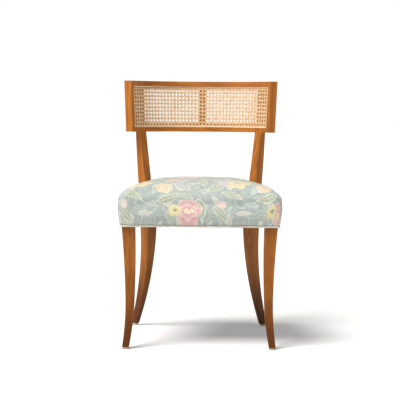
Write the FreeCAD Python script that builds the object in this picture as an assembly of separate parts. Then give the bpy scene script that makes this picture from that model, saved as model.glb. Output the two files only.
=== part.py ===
import FreeCAD, Part

import math
import os

from FreeCAD import Vector

# Klismos side chair. Millimetres, X to the right as seen from the front, Y to the rear, Z up.
# The right half is drawn and the left half is its mirror image.

# Heights
overall_height = 838.0
back_height = 173.0
seat_underside = 376.0
rail_underside = 380.0
rail_height = 72.0
glide_height = 6.0

# Back, in plan: arcs about a centre line that leans backwards
back_radius = 260.5
back_flare = 10.0
back_lean = 24.5
back_thickness = 26.0
back_half_angle = 61.4
top_rail_height = 17.0
bottom_rail_height = 15.0
stile_width = 15.5
stile_rebate = 54.0
muntin_width = 27.0
muntin_offset = 5.0
rebate_width = 13.0
rebate_depth = 3.3
groove_width = 4.0
groove_depth = 5.3
cane_thickness = 1.2
cane_recess = 1.8
spline_recess = 0.9
skin_clearance = 0.3

# Rear posts, set at an angle in plan, each cut from one plank
post_angle = 48.6
post_block_width = 44.0
post_block_depth = 36.4
post_neck_width = 31.6
post_neck_height = 498.0
post_top_width = 32.0
post_top_depth = 20.0
post_foot_width = 15.0
post_foot_depth = 23.5
post_waist_height = 350.0
post_foot_sweep = 69.5
post_top_sweep = 46.0
post_hollow = 3.6
tongue_depth = 13.0

# Front legs
leg_top_width = 41.8
leg_top_depth = 38.0
leg_waist_width = 28.0
leg_waist_depth = 25.0
leg_waist_height = 150.0
leg_foot_width = 21.0
leg_foot_depth = 21.0
leg_top_centre = 222.6
leg_waist_centre = 215.8
leg_foot_centre = 228.5
leg_front_sweep = 50.0
leg_sweep_height = 340.0

# Seat frame
frame_depth = 413.0
rail_thickness = 22.0
side_rail_on_post = 14.0
rear_rail_on_post = 18.0
dowel_diameter = 9.5
dowel_length = 50.0
dowel_spacing = 48.0
side_dowel_spacing = 18.0
post_dowel_depth = 19.0
corner_block_leg = 58.0
corner_block_height = 52.0
corner_block_drop = 6.0
block_screw_diameter = 4.0
block_screw_length = 38.0
block_screw_head = 8.0

# Springing
webbing_width = 50.0
webbing_thickness = 1.5
long_strap_count = 5
cross_strap_count = 5
strap_end_margin = 3.0
spring_height = 94.0
spring_end_radius = 36.0
spring_waist_radius = 27.0
spring_wire = 3.2
spring_turns = 6
spring_side = 82.0
spring_front = 125.0
spring_rear = 300.0
hessian_thickness = 1.5
hessian_border = 14.0
hessian_slope = 55.0

# Upholstery
seat_overhang = 8.5
seat_side_overhang = 4.2
seat_side_bulge = 6.0
seat_bulge_height = 455.0
seat_crown_height = 525.0
seat_fullness = 2.8
seat_corner_radius = 20.0
seat_crown_radius = 60.0
cover_thickness = 2.0
welt_diameter = 5.4
seat_rear_overhang = 3.5
post_clearance = 0.4
dust_cover_thickness = 0.8
dust_cover_margin = 3.0
tack_spacing = 55.0
tack_head = 8.0
tack_head_thickness = 0.8
tack_shank = 2.0
tack_length = 10.0

# Back fixings and glides
back_dowel_diameter = 8.0
back_dowel_in = 16.0
back_dowel_length = 36.0
post_screw_diameter = 4.5
post_screw_head = 9.0
post_screw_length = 20.0
post_screw_spacing = 16.0
glide_diameter = 20.0
glide_bevel = 1.5
glide_nail_diameter = 2.6
glide_nail_length = 20.0
edge_round = 1.4

# Margins, shares and counts
tongue_reach = 5.0
screw_head_sink = 1.5
screw_head_height = 3.0
block_screw_share = 0.42
tack_corner_margin = 20.0
tack_post_margin = 26.0
tack_rail_start = 24.0
tack_rail_ends = 60.0
strap_side_margin = 65.0
strap_post_margin = 20.0
post_reach = 300.0
dome_degrees = [14, 28, 42, 55, 67, 76, 83]
side_shares = [0.0, 0.3, 0.65, 1.0]
front_round_share = 0.6
rear_round_share = 0.2
rear_round = 4.0
rear_round_growth = 0.4
seat_rear_share = 0.8
rail_overrun = 5.0
rail_cutter = 60.0
dowel_drop_share = 0.6
core_depth = 20.0
padding_post_share = 3.0
cover_post_share = 4.0
post_steps = 4
leg_steps = 8
foot_steps = 7

# Worked out from the sizes above
post_turn = math.radians(post_angle)
outward = Vector(math.sin(post_turn), math.cos(post_turn), 0)
across = Vector(math.cos(post_turn), -math.sin(post_turn), 0)
back_bottom = overall_height - back_height
post_front_slope = (back_flare + back_lean * math.cos(post_turn)) / back_height
post_rear_rise = back_bottom - (post_waist_height + seat_underside) / 2
post_rear_slope = (post_top_sweep + post_top_depth - post_block_depth) / post_rear_rise
rail_top = rail_underside + rail_height
post_base = Vector((back_radius - post_top_sweep) * math.sin(post_turn), frame_depth, 0)
back_centre_y = post_base.y - (back_radius - post_top_sweep) * math.cos(post_turn)
post_top = back_bottom + bottom_rail_height
rear_edge = back_centre_y + back_lean + back_radius + back_flare + back_thickness
foot_drop = (leg_sweep_height - glide_height) / leg_sweep_height
front_edge = -leg_front_sweep * foot_drop ** 2
depth_shift = -(front_edge + rear_edge) / 2
leg_outer = leg_top_centre + leg_top_width / 2
leg_inner = leg_top_centre - leg_top_width / 2

parts = {}


def box(x0, x1, y0, y1, z0, z1):
    return Part.makeBox(x1 - x0, y1 - y0, z1 - z0, Vector(x0, y0, z0))


def cylinder(diameter, length, start, direction):
    return Part.makeCylinder(diameter / 2, length, start, direction)


def prism(points, z0, z1):
    ring = [Vector(p.x, p.y, z0) for p in points]
    face = Part.Face(Part.makePolygon(ring + [ring[0]]))
    return face.extrude(Vector(0, 0, z1 - z0))


def mirrored(shape):
    return shape.mirror(Vector(0, 0, 0), Vector(1, 0, 0))


def both(shape):
    return [shape, mirrored(shape)]


def compound(shapes):
    solids = []
    for shape in shapes:
        solids += shape.Solids
    return Part.makeCompound(solids)


def cut_all(shape, tools):
    for tool in tools:
        shape = shape.cut(tool)
    return shape


def rounded_outline(corners, radii):
    """A closed wire through plan corners, each with its own round; a round of 0 stays sharp."""
    count = len(corners)
    starts = []
    ends = []
    arcs = []
    for i in range(count):
        corner = corners[i]
        before = (corners[i - 1] - corner).normalize()
        after = (corners[(i + 1) % count] - corner).normalize()
        half_turn = before.getAngle(after) / 2
        reach = radii[i] / math.tan(half_turn)
        start = corner + before * reach
        end = corner + after * reach
        starts.append(start)
        ends.append(end)
        if radii[i] > 0:
            bisector = (before + after).normalize()
            middle = corner + bisector * (radii[i] / math.sin(half_turn) - radii[i])
            arcs.append(Part.Arc(start, middle, end).toShape())
        else:
            arcs.append(None)
    edges = []
    for i in range(count):
        if arcs[i]:
            edges.append(arcs[i])
        edges.append(Part.LineSegment(ends[i], starts[(i + 1) % count]).toShape())
    return Part.Wire(edges)


# Front legs

def leg_centre(z):
    if z >= leg_waist_height:
        rise = (z - leg_waist_height) / (seat_underside - leg_waist_height)
        return leg_waist_centre + (leg_top_centre - leg_waist_centre) * rise ** 2
    drop = (leg_waist_height - z) / leg_waist_height
    return leg_waist_centre + (leg_foot_centre - leg_waist_centre) * drop ** 2


def leg_taper(z, foot, waist, top):
    if z >= leg_waist_height:
        return waist + (top - waist) * (z - leg_waist_height) / (seat_underside - leg_waist_height)
    return foot + (waist - foot) * z / leg_waist_height


def leg_face(z):
    drop = max(0.0, leg_sweep_height - z) / leg_sweep_height
    return -leg_front_sweep * drop ** 2


def leg_section(z):
    half = leg_taper(z, leg_foot_width, leg_waist_width, leg_top_width) / 2
    depth = leg_taper(z, leg_foot_depth, leg_waist_depth, leg_top_depth)
    x = leg_centre(z)
    y = leg_face(z)
    corners = [
        Vector(x - half, y, z),
        Vector(x + half, y, z),
        Vector(x + half, y + depth, z),
        Vector(x - half, y + depth, z),
    ]
    return rounded_outline(corners, [edge_round] * 4)


def steps(low, high, count):
    return [low + (high - low) * i / count for i in range(count + 1)]


def front_leg():
    sweep = Part.makeLoft([leg_section(z) for z in steps(glide_height, seat_underside, leg_steps)], True)
    block = box(leg_inner, leg_outer, 0, leg_top_depth, seat_underside, rail_top)
    return sweep.fuse(block)


# Rear posts

def post_front(z):
    if z >= post_neck_height:
        return post_top_sweep - post_front_slope * (back_bottom - z)
    drop = max(0.0, post_waist_height - z) / post_waist_height
    return post_foot_sweep * drop ** 2


def post_rear(z):
    if z >= post_waist_height:
        climb = min(z - post_waist_height, seat_underside - post_waist_height)
        curve = post_rear_slope * climb ** 2 / (2 * (seat_underside - post_waist_height))
        share = min(1.0, max(0.0, z - seat_underside) / (back_bottom - seat_underside))
        bow = post_hollow * math.sin(math.pi * share)
        return post_block_depth + curve + post_rear_slope * max(0.0, z - seat_underside) + bow
    taper = (post_block_depth - post_foot_depth) * (post_waist_height - z) / post_waist_height
    return post_front(z) + post_block_depth - taper


def post_width(z):
    if z >= post_neck_height:
        rise = (z - post_neck_height) / (back_bottom - post_neck_height)
        return post_neck_width + (post_top_width - post_neck_width) * min(1.0, rise)
    taper = (post_block_width - post_foot_width) * max(0.0, post_waist_height - z)
    return post_block_width - taper / post_waist_height


def on_post(radial, tangential, z):
    point = post_base + outward * radial + across * tangential
    return Vector(point.x, point.y, z)


def post_section(z, front, rear, width):
    corners = [
        on_post(front, -width / 2, z),
        on_post(front, width / 2, z),
        on_post(rear, width / 2, z),
        on_post(rear, -width / 2, z),
    ]
    return rounded_outline(corners, [edge_round] * 4)


def post_at(z):
    return post_section(z, post_front(z), post_rear(z), post_width(z))


def post_block():
    lower = post_section(seat_underside, 0, post_rear(seat_underside), post_block_width)
    upper = post_section(rail_top, 0, post_rear(rail_top), post_block_width)
    return Part.makeLoft([lower, upper], True, True)


def rear_post():
    low_heights = steps(glide_height, post_waist_height, foot_steps) + [seat_underside]
    lower = Part.makeLoft([post_at(z) for z in low_heights], True)
    block_top = post_section(rail_top, 0, post_rear(rail_top), post_block_width)
    shoulder = Part.makeLoft([block_top, post_at(post_neck_height)], True, True)
    upper = Part.makeLoft([post_at(z) for z in steps(post_neck_height, back_bottom, post_steps)], True)
    front = post_top_sweep
    tongue_lean = post_front_slope * bottom_rail_height
    tongue = Part.makeLoft([
        post_section(back_bottom, front, front + tongue_depth, post_top_width),
        post_section(post_top, front + tongue_lean, front + tongue_lean + tongue_depth, post_top_width),
    ], True, True)
    return lower.fuse([post_block(), shoulder, upper, tongue])


# Seat frame

def side_rail_ends():
    """Centre line of the right rail, from the front leg to the post."""
    front = Vector(leg_outer - rail_thickness / 2, leg_top_depth, 0)
    rear = on_post(side_rail_on_post, post_block_width / 2, 0)
    return front, rear


def side_rail():
    front, rear = side_rail_ends()
    run = (rear - front).normalize()
    side = Vector(run.y, -run.x, 0) * (rail_thickness / 2)
    start = front - run * rail_overrun
    end = rear + run * (post_block_depth * seat_rear_share)
    rail = prism([start - side, start + side, end + side, end - side], rail_underside, rail_top)
    low_x = leg_inner - rail_cutter
    high_x = leg_outer + rail_cutter
    rail = rail.cut(box(low_x, high_x, -rail_cutter, leg_top_depth, 0, overall_height))
    return beyond_post_face(rail, 1)


def beyond_post_face(shape, facing):
    """Keeps what lies outside the post's side face that looks along facing * across."""
    edge = facing * post_block_width / 2
    far = facing * post_reach
    keep = [
        on_post(-post_reach, edge, 0),
        on_post(post_reach, edge, 0),
        on_post(post_reach, far, 0),
        on_post(-post_reach, far, 0),
    ]
    return shape.common(prism(keep, 0, overall_height))


def rear_rail_centre_y():
    return on_post(rear_rail_on_post, -post_block_width / 2, 0).y


def rear_rail():
    y = rear_rail_centre_y()
    half = post_base.x
    rail = box(0, half, y - rail_thickness / 2, y + rail_thickness / 2, rail_underside, rail_top)
    rail = beyond_post_face(rail, -1)
    return rail.fuse(mirrored(rail)).removeSplitter()


def front_rail():
    return box(-leg_inner, leg_inner, 0, rail_thickness, rail_underside, rail_top)


def pair_heights(spacing):
    middle = rail_underside + rail_height / 2
    return [middle - spacing / 2, middle + spacing / 2]


def rail_dowels():
    front, rear = side_rail_ends()
    run = (rear - front).normalize()
    dowels = []
    for z in pair_heights(side_dowel_spacing):
        start = Vector(front.x, front.y - dowel_length / 2, z)
        dowels.append(cylinder(dowel_diameter, dowel_length, start, Vector(0, 1, 0)))
        end = Vector(rear.x, rear.y, z) + run * post_dowel_depth
        dowels.append(cylinder(dowel_diameter, dowel_length, end, run * -1))
    for z in pair_heights(dowel_spacing):
        start = Vector(leg_inner - dowel_length / 2, rail_thickness / 2, z)
        dowels.append(cylinder(dowel_diameter, dowel_length, start, Vector(1, 0, 0)))
        contact = on_post(rear_rail_on_post, -post_block_width / 2, z)
        end = Vector(contact.x + post_dowel_depth, contact.y, z)
        dowels.append(cylinder(dowel_diameter, dowel_length, end, Vector(-1, 0, 0)))
    return dowels


def corner_block(corner, along_a, along_b, blockers):
    """A glued brace in the angle between two rails, cut to fit round the leg or post."""
    z0 = rail_underside + corner_block_drop
    z1 = z0 + corner_block_height
    block = prism([corner, corner + along_a, corner + along_b], z0, z1)
    return cut_all(block, blockers)


def block_screw(block_face, direction, z):
    """A countersunk screw through a corner block into a rail."""
    start = Vector(block_face.x, block_face.y, z)
    shank = cylinder(block_screw_diameter, block_screw_length, start, direction)
    head_radius = block_screw_head / 2
    head = Part.makeCone(head_radius, block_screw_diameter / 2, head_radius, start, direction)
    return shank.fuse(head)


# The back

def back_centre(z):
    rise = (z - back_bottom) / back_height
    return Vector(0, back_centre_y + back_lean * rise, z)


def back_point(angle, depth, z):
    rise = (z - back_bottom) / back_height
    radius = back_radius + back_flare * rise + depth
    return back_centre(z) + Vector(math.sin(angle), math.cos(angle), 0) * radius


def strip_wire(a0, a1, z, depth0, depth1):
    middle = (a0 + a1) / 2
    inner = Part.Arc(back_point(a0, depth0, z), back_point(middle, depth0, z), back_point(a1, depth0, z))
    outer = Part.Arc(back_point(a1, depth1, z), back_point(middle, depth1, z), back_point(a0, depth1, z))
    first = Part.LineSegment(back_point(a1, depth0, z), back_point(a1, depth1, z))
    last = Part.LineSegment(back_point(a0, depth1, z), back_point(a0, depth0, z))
    return Part.Wire([inner.toShape(), first.toShape(), outer.toShape(), last.toShape()])


def strip(a0, a1, z0, z1, depth0, depth1):
    """A piece of the back's curved wall between two angles, two heights and two depths."""
    wires = [strip_wire(a0, a1, z0, depth0, depth1), strip_wire(a0, a1, z1, depth0, depth1)]
    return Part.makeLoft(wires, True, True)


half_angle = math.radians(back_half_angle)
sight_angle = half_angle - stile_width / back_radius
frame_angle = sight_angle - stile_rebate / back_radius
groove_angle = groove_width / back_radius
sight_bottom = back_bottom + bottom_rail_height
sight_top = overall_height - top_rail_height
open_bottom = sight_bottom + rebate_width
open_top = sight_top - rebate_width
muntin_half = muntin_width / 2 / back_radius
muntin_angle = muntin_offset / back_radius


def cane_field(depth0, depth1):
    """The area that the cane covers inside its groove."""
    edge = sight_angle - groove_angle
    return strip(-edge, edge, sight_bottom + groove_width, sight_top - groove_width, depth0, depth1)


def spline_ring(depth0, depth1):
    """The strip round the cane, as wide as its groove."""
    whole = strip(-sight_angle, sight_angle, sight_bottom, sight_top, depth0, depth1)
    edge = sight_angle - groove_angle
    low = sight_bottom + groove_width
    high = sight_top - groove_width
    return whole.cut(strip(-edge, edge, low, high, depth0 - 1, depth1 + 1))


def tongue_notch():
    """The room for a post's tongue in the front of the bottom rail."""
    lean = post_front_slope * bottom_rail_height
    front = post_top_sweep - tongue_reach
    rear = post_top_sweep + tongue_depth
    low = post_section(back_bottom, front, rear, post_top_width)
    high = post_section(post_top, front + lean, rear + lean, post_top_width)
    return Part.makeLoft([low, high], True, True)


def rebate_cutters():
    back = back_thickness
    return [
        strip(-sight_angle, sight_angle, sight_bottom, sight_top, -1, rebate_depth),
        strip(-sight_angle, sight_angle, sight_bottom, sight_top, back - rebate_depth, back + 1),
        spline_ring(-1, groove_depth),
        spline_ring(back - groove_depth, back + 1),
    ]


def back_dowel_list():
    dowels = []
    middle = back_thickness / 2
    for z in [open_bottom - back_dowel_diameter * dowel_drop_share, open_top + back_dowel_diameter]:
        joint = back_point(frame_angle, back_dowel_in, z)
        along = Vector(math.cos(frame_angle), -math.sin(frame_angle), 0)
        start = joint - along * (back_dowel_length / 2)
        dowels += both(cylinder(back_dowel_diameter, back_dowel_length, start, along))
    low = back_point(muntin_angle, middle, open_bottom)
    high = back_point(muntin_angle, middle, open_top)
    rise = (high - low).normalize()
    reach = bottom_rail_height
    dowels.append(cylinder(back_dowel_diameter, reach * 2, low - rise * reach, rise))
    dowels.append(cylinder(back_dowel_diameter, reach * 2, high - rise * reach, rise))
    return dowels


def post_screws():
    """Two screws from the rear of the bottom rail into each post's tongue."""
    screws = []
    z = back_bottom + bottom_rail_height / 2
    for side in [-0.5, 0.5]:
        lean = post_front_slope * (z - back_bottom)
        head_plane = post_top_sweep + lean + back_thickness - screw_head_sink
        start = on_post(head_plane, side * post_screw_spacing, z)
        shank = cylinder(post_screw_diameter, post_screw_length, start, outward * -1)
        head_radius = post_screw_head / 2
        head = Part.makeCone(head_radius, post_screw_diameter / 2, screw_head_height, start, outward * -1)
        screws += both(shank.fuse(head))
    return screws


# Upholstery

def seat_outline(z, inset, scale):
    """The seat's level section: square to the front, drawn in to the posts at the rear."""
    front, rear = side_rail_ends()
    run = (rear - front).normalize()
    outwards = Vector(run.y, -run.x, 0)
    reach = seat_overhang - inset
    rear_y = rear_rail_centre_y() + rail_thickness / 2 + seat_rear_overhang - inset
    edge = front + outwards * (rail_thickness / 2 + seat_side_overhang - inset)
    front_x = edge.x - (edge.y + reach) * run.x / run.y
    side_y = on_post(post_block_depth / 2, post_block_width / 2, z).y
    side_x = front_x + (side_y + reach) * run.x / run.y
    rear_x = on_post(post_block_depth * seat_rear_share, 0, z).x - inset
    middle_y = (rear_y - reach) / 2
    corners = []
    for x, y in [(front_x, -reach), (side_x, side_y), (rear_x, rear_y)]:
        corners.append(Vector(x * scale, middle_y + (y - middle_y) * scale, z))
    left = [Vector(-c.x, c.y, c.z) for c in reversed(corners)]
    soft = seat_crown_radius * (1 - scale)
    limit = rear_x * scale
    front_radius = min(front_round_share * limit, seat_corner_radius - inset + soft)
    rear_radius = min(rear_round_share * limit, rear_round + rear_round_growth * soft)
    radii = [front_radius, rear_radius, rear_radius]
    return rounded_outline(corners + left, radii + list(reversed(radii)))


def seat_sections(inset, base):
    """Upright sides that swell a little, then a dome whose outline is a superellipse."""
    wires = []
    for share in side_shares:
        bulge = seat_side_bulge * math.sin(math.pi / 2 * share)
        wires.append(seat_outline(base + (seat_bulge_height - base) * share, inset - bulge, 1.0))
    rise = seat_crown_height - inset - seat_bulge_height
    for degrees in dome_degrees:
        angle = math.radians(degrees)
        scale = math.cos(angle) ** (2 / seat_fullness)
        height = seat_bulge_height + rise * math.sin(angle)
        wires.append(seat_outline(height, inset - seat_side_bulge, scale))
    return wires


def seat_body(inset, base):
    return Part.makeLoft(seat_sections(inset, base), True)


def frame_core():
    """The room inside the outer faces of the legs and rails, up to the rails' tops."""
    front, rear = side_rail_ends()
    run = (rear - front).normalize()
    outwards = Vector(run.y, -run.x, 0)
    y = rear_rail_centre_y() + rail_thickness / 2
    post_end = rear + outwards * (rail_thickness / 2) + run * post_block_depth / padding_post_share
    shoulder = front + outwards * (rail_thickness / 2)
    points = [Vector(leg_outer, 0, 0), Vector(leg_outer, leg_top_depth, 0), shoulder, post_end]
    points.append(Vector(post_base.x, y, 0))
    left = [Vector(-p.x, p.y, 0) for p in reversed(points)]
    return prism(points + left, seat_underside - core_depth, rail_top)


def hessian_envelope(lift):
    """The room under the hessian: over the springs and down to the rails' tops."""
    size = post_base.x + post_block_depth
    low = seat_outline(rail_top, seat_overhang, 1 - (hessian_border - 4 * lift) / size)
    high = seat_outline(rail_underside + spring_height + lift, seat_overhang, 1 - hessian_slope / size)
    return Part.makeLoft([low, high], True, True)


def spring(x, y):
    """An hourglass coil of one unbroken wire, in quarter turns."""
    z0 = rail_underside + spring_wire / 2
    rise = spring_height - spring_wire
    quarters = spring_turns * 4

    def place(step):
        share = step / quarters
        radius = spring_waist_radius + (spring_end_radius - spring_waist_radius) * abs(2 * share - 1) ** 1.5
        angle = math.pi / 2 * step
        return Vector(x + radius * math.cos(angle), y + radius * math.sin(angle), z0 + rise * share)

    edges = [Part.Arc(place(i), place(i + 0.5), place(i + 1)).toShape() for i in range(quarters)]
    path = Part.Wire(edges)
    start = place(0)
    heading = edges[0].tangentAt(edges[0].FirstParameter)
    profile = Part.Wire(Part.makeCircle(spring_wire / 2, start, heading))
    coil = path.makePipeShell([profile], True, False)
    gap = rise / spring_turns - spring_wire
    return coil, gap


def straps(count, low, high):
    span = (high - low) / count
    out = []
    for i in range(count):
        middle = low + span * (i + 0.5)
        out.append((middle - webbing_width / 2, middle + webbing_width / 2))
    return out


def underside_plan(margin):
    """The seat frame's outline seen from below, less a margin."""
    front, rear = side_rail_ends()
    run = (rear - front).normalize()
    outwards = Vector(run.y, -run.x, 0)
    y = rear_rail_centre_y() + rail_thickness / 2 - margin
    points = [
        Vector(leg_outer - margin, margin, 0),
        Vector(leg_outer - margin, leg_top_depth, 0),
        rear + outwards * (rail_thickness / 2 - margin) + run * post_block_depth / cover_post_share,
        Vector(post_base.x, y, 0),
    ]
    left = [Vector(-p.x, p.y, 0) for p in reversed(points)]
    return points + left


def tack(x, y):
    cover_under = rail_underside - 2 * webbing_thickness - dust_cover_thickness
    up = Vector(0, 0, 1)
    head = cylinder(tack_head, tack_head_thickness, Vector(x, y, cover_under - tack_head_thickness), up)
    shank = cylinder(tack_shank, tack_length, Vector(x, y, cover_under), up)
    return head.fuse(shank)


def tacks():
    front, rear = side_rail_ends()
    front_y = rail_thickness / 2
    rear_y = rear_rail_centre_y()
    out = []
    count = int((leg_inner - tack_corner_margin) * 2 / tack_spacing)
    for i in range(count + 1):
        x = (leg_inner - tack_corner_margin) * (2 * i / count - 1)
        out.append(tack(x, front_y))
    reach = on_post(rear_rail_on_post, -post_block_width / 2, 0).x - tack_post_margin
    count = int(reach * 2 / tack_spacing)
    for i in range(count + 1):
        x = reach * (2 * i / count - 1)
        out.append(tack(x, rear_y))
    run = rear - front
    count = int((run.Length - tack_rail_ends) / tack_spacing)
    for i in range(count + 1):
        share = (tack_rail_start + (run.Length - tack_rail_ends) * i / count) / run.Length
        point = front + run * share
        out += both(tack(point.x, point.y))
    return out


def welt():
    """The piping round the seat's lower edge, under the hem of the cover."""
    path = seat_outline(seat_underside + welt_diameter / 2, cover_thickness / 2, 1.0)
    edge = path.Edges[0]
    start = edge.valueAt(edge.FirstParameter)
    heading = edge.tangentAt(edge.FirstParameter)
    profile = Part.Wire(Part.makeCircle(welt_diameter / 2, start, heading))
    return path.makePipeShell([profile], True, False)


def glide(x, y):
    disc = cylinder(glide_diameter, glide_height, Vector(x, y, 0), Vector(0, 0, 1))
    low_edges = [e for e in disc.Edges if e.BoundBox.ZMax < 0.01 and len(e.Vertexes) == 1]
    return disc.makeFillet(glide_bevel, low_edges)


def glide_nail(x, y):
    return cylinder(glide_nail_diameter, glide_nail_length, Vector(x, y, glide_height / 3), Vector(0, 0, 1))


def add(name, shape):
    parts[name] = shape


def add_pair(name, shape):
    parts[name + "_right"] = shape
    parts[name + "_left"] = mirrored(shape)


def build():
    dowels = rail_dowels()
    all_dowels = dowels + [mirrored(d) for d in dowels]
    leg_foot = Vector(leg_centre(glide_height), leg_face(glide_height) + leg_foot_depth / 2, 0)
    post_foot_radial = post_front(glide_height) + post_foot_depth / 2
    post_foot = on_post(post_foot_radial, 0, 0)
    nails = [glide_nail(p.x, p.y) for p in [leg_foot, post_foot]]
    leg = front_leg()
    post = rear_post()
    side = side_rail()
    rear = rear_rail()
    front = front_rail()
    long_x = leg_inner - strap_side_margin
    cross_rear = on_post(0, 0, 0).y - strap_post_margin
    block_tools = [leg, post, side, front, rear]
    side_front, side_back = side_rail_ends()
    run = (side_back - side_front).normalize()
    outwards = Vector(run.y, -run.x, 0)
    inner_front = side_front - outwards * (rail_thickness / 2)
    inner_corner = inner_front + run * ((rail_thickness - inner_front.y) / run.y)
    leg_reach = corner_block_leg + leg_outer - leg_inner - rail_thickness
    front_block = corner_block(inner_corner, Vector(-leg_reach, 0, 0), run * leg_reach, block_tools)
    rear_y = rear_rail_centre_y() - rail_thickness / 2
    rear_corner = inner_front + run * ((rear_y - inner_front.y) / run.y)
    rear_reach = corner_block_leg + post_block_width
    rear_block = corner_block(rear_corner, run * -rear_reach, Vector(-rear_reach, 0, 0), block_tools)
    blocks = {"front": front_block, "rear": rear_block}
    screw_z = pair_heights(0)[0]
    front_mid = (inner_corner + Vector(-leg_reach, 0, 0) + inner_corner + run * leg_reach) * 0.5
    rear_mid = (rear_corner - run * rear_reach + rear_corner + Vector(-rear_reach, 0, 0)) * 0.5
    block_screws = []
    for mid, end_a, end_b, push in [
        (front_mid, inner_corner + Vector(-leg_reach, 0, 0), inner_corner + run * leg_reach, 1),
        (rear_mid, rear_corner - run * rear_reach, rear_corner + Vector(-rear_reach, 0, 0), -1),
    ]:
        for end in [end_a, end_b]:
            seat = mid + (end - mid) * block_screw_share
            level = Vector(0, -push, 0)
            to_cross_rail = end is end_a if push > 0 else end is end_b
            direction = level if to_cross_rail else outwards
            block_screws.append(block_screw(seat, direction, screw_z))
    all_block_screws = block_screws + [mirrored(s) for s in block_screws]
    tack_list = tacks()
    screws = post_screws()
    cutters = rebate_cutters()
    back_dowels = back_dowel_list()
    bottom = strip(-frame_angle, frame_angle, back_bottom, open_bottom, 0, back_thickness)
    top = strip(-frame_angle, frame_angle, open_top, overall_height, 0, back_thickness)
    stile = strip(frame_angle, half_angle, back_bottom, overall_height, 0, back_thickness)
    bottom = cut_all(bottom, cutters + both(tongue_notch()) + screws + back_dowels)
    top = cut_all(top, cutters + back_dowels)
    stile = cut_all(stile, cutters + [tongue_notch()] + screws + back_dowels)
    inner_depth = rebate_depth
    muntin = strip(
        muntin_angle - muntin_half,
        muntin_angle + muntin_half,
        open_bottom,
        open_top,
        inner_depth,
        back_thickness - inner_depth,
    )
    add("back_bottom_rail", bottom)
    add("back_top_rail", top)
    add_pair("back_stile", stile)
    add("back_centre_muntin", cut_all(muntin, back_dowels))
    add("back_dowels", compound(back_dowels))
    back = back_thickness
    lower = cane_recess + cane_thickness
    add("cane_panel_front", cane_field(cane_recess, lower))
    add("cane_panel_rear", cane_field(back - lower, back - cane_recess))
    spline_floor = groove_depth - skin_clearance
    add("cane_spline_front", spline_ring(spline_recess, spline_floor))
    add("cane_spline_rear", spline_ring(back - spline_floor, back - spline_recess))
    add("post_screws", compound(screws))
    add_pair("rear_post", cut_all(post, dowels + screws + nails[1:]))
    add_pair("front_leg", cut_all(leg, dowels + nails[:1]))
    add_pair("side_seat_rail", cut_all(side, dowels + block_screws + tack_list))
    add("front_seat_rail", cut_all(front, all_dowels + all_block_screws + tack_list))
    add("rear_seat_rail", cut_all(rear, all_dowels + all_block_screws + tack_list))
    add("rail_dowels", compound(all_dowels))
    for place, block in blocks.items():
        add_pair("corner_block_" + place, cut_all(block, block_screws))
    add("corner_block_screws", compound(all_block_screws))
    legs = both(leg) + both(post)
    plan = underside_plan(strap_end_margin)
    long_bed = prism(plan, rail_underside - webbing_thickness, rail_underside)
    cross_bed = prism(plan, rail_underside - 2 * webbing_thickness, rail_underside - webbing_thickness)
    rear_y = rear_rail_centre_y()
    long_straps = [
        box(x0, x1, 0, rear_y + rail_thickness, 0, overall_height).common(long_bed)
        for x0, x1 in straps(long_strap_count, -long_x, long_x)
    ]
    cross_straps = [
        box(-leg_outer, leg_outer, y0, y1, 0, overall_height).common(cross_bed)
        for y0, y1 in straps(cross_strap_count, leg_top_depth, cross_rear)
    ]
    add("webbing_front_to_back", cut_all(compound(long_straps), tack_list + legs))
    add("webbing_side_to_side", cut_all(compound(cross_straps), tack_list + legs))
    coils = []
    for x, y in [
        (-spring_side, spring_front),
        (spring_side, spring_front),
        (0, (spring_front + spring_rear) / 2),
        (-spring_side, spring_rear),
        (spring_side, spring_rear),
    ]:
        coil, gap = spring(x, y)
        coils.append(coil)
    print("spring: least gap between turns", round(gap, 2))
    add("seat_springs", compound(coils))
    hessian = hessian_envelope(hessian_thickness).cut(hessian_envelope(0))
    add("spring_hessian", cut_all(hessian, both(post)))
    clear_posts = both(grown_post())
    hem = seat_underside + welt_diameter + skin_clearance
    outer = seat_body(0, hem)
    inner = seat_body(cover_thickness, hem)
    padding = cut_all(inner, [frame_core(), hessian_envelope(hessian_thickness)])
    add("seat_cover", cut_all(outer.cut(inner), clear_posts))
    add("seat_padding", cut_all(padding, clear_posts))
    add("seat_welt", cut_all(welt(), clear_posts))
    cover_top = rail_underside - 2 * webbing_thickness
    sheet = prism(underside_plan(dust_cover_margin), cover_top - dust_cover_thickness, cover_top)
    add("dust_cover", cut_all(sheet, tack_list + both(leg) + clear_posts))
    add("dust_cover_tacks", compound(tack_list))
    add_pair("glide_front", glide(leg_foot.x, leg_foot.y).cut(nails[0]))
    add_pair("glide_rear", glide(post_foot.x, post_foot.y).cut(nails[1]))
    add("glide_nails", compound(nails + [mirrored(n) for n in nails]))


def grown_post():
    """The post's room in the upholstery: its shape with the clearance round it."""
    wires = []
    for z in [seat_underside - core_depth, rail_top]:
        half = post_block_width + 2 * post_clearance
        wires.append(post_section(z, -post_clearance, post_rear(z) + post_clearance, half))
    low = Part.makeLoft(wires, True, True)
    rear = post_rear(rail_top) + post_clearance
    wires = [post_section(rail_top, -post_clearance, rear, post_block_width + 2 * post_clearance)]
    for z in steps(post_neck_height, back_bottom, post_steps):
        front = post_front(z) - post_clearance
        rear = post_rear(z) + post_clearance
        wires.append(post_section(z, front, rear, post_width(z) + 2 * post_clearance))
    high = Part.makeLoft(wires, True, True)
    return low.fuse(high)


def main():
    build()
    os.makedirs("parts", exist_ok=True)
    for name, shape in parts.items():
        placed = shape.translated(Vector(0, depth_shift, 0))
        placed.exportStep("parts/" + name + ".step")
        solids = placed.Solids
        print(name, len(solids), round(sum(s.Volume for s in solids) / 1000, 2), placed.isValid())


if __name__ == "__main__":
    main()
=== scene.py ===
import math

import bmesh
import bpy
import numpy as np
from mathutils import Matrix, Vector


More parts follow.
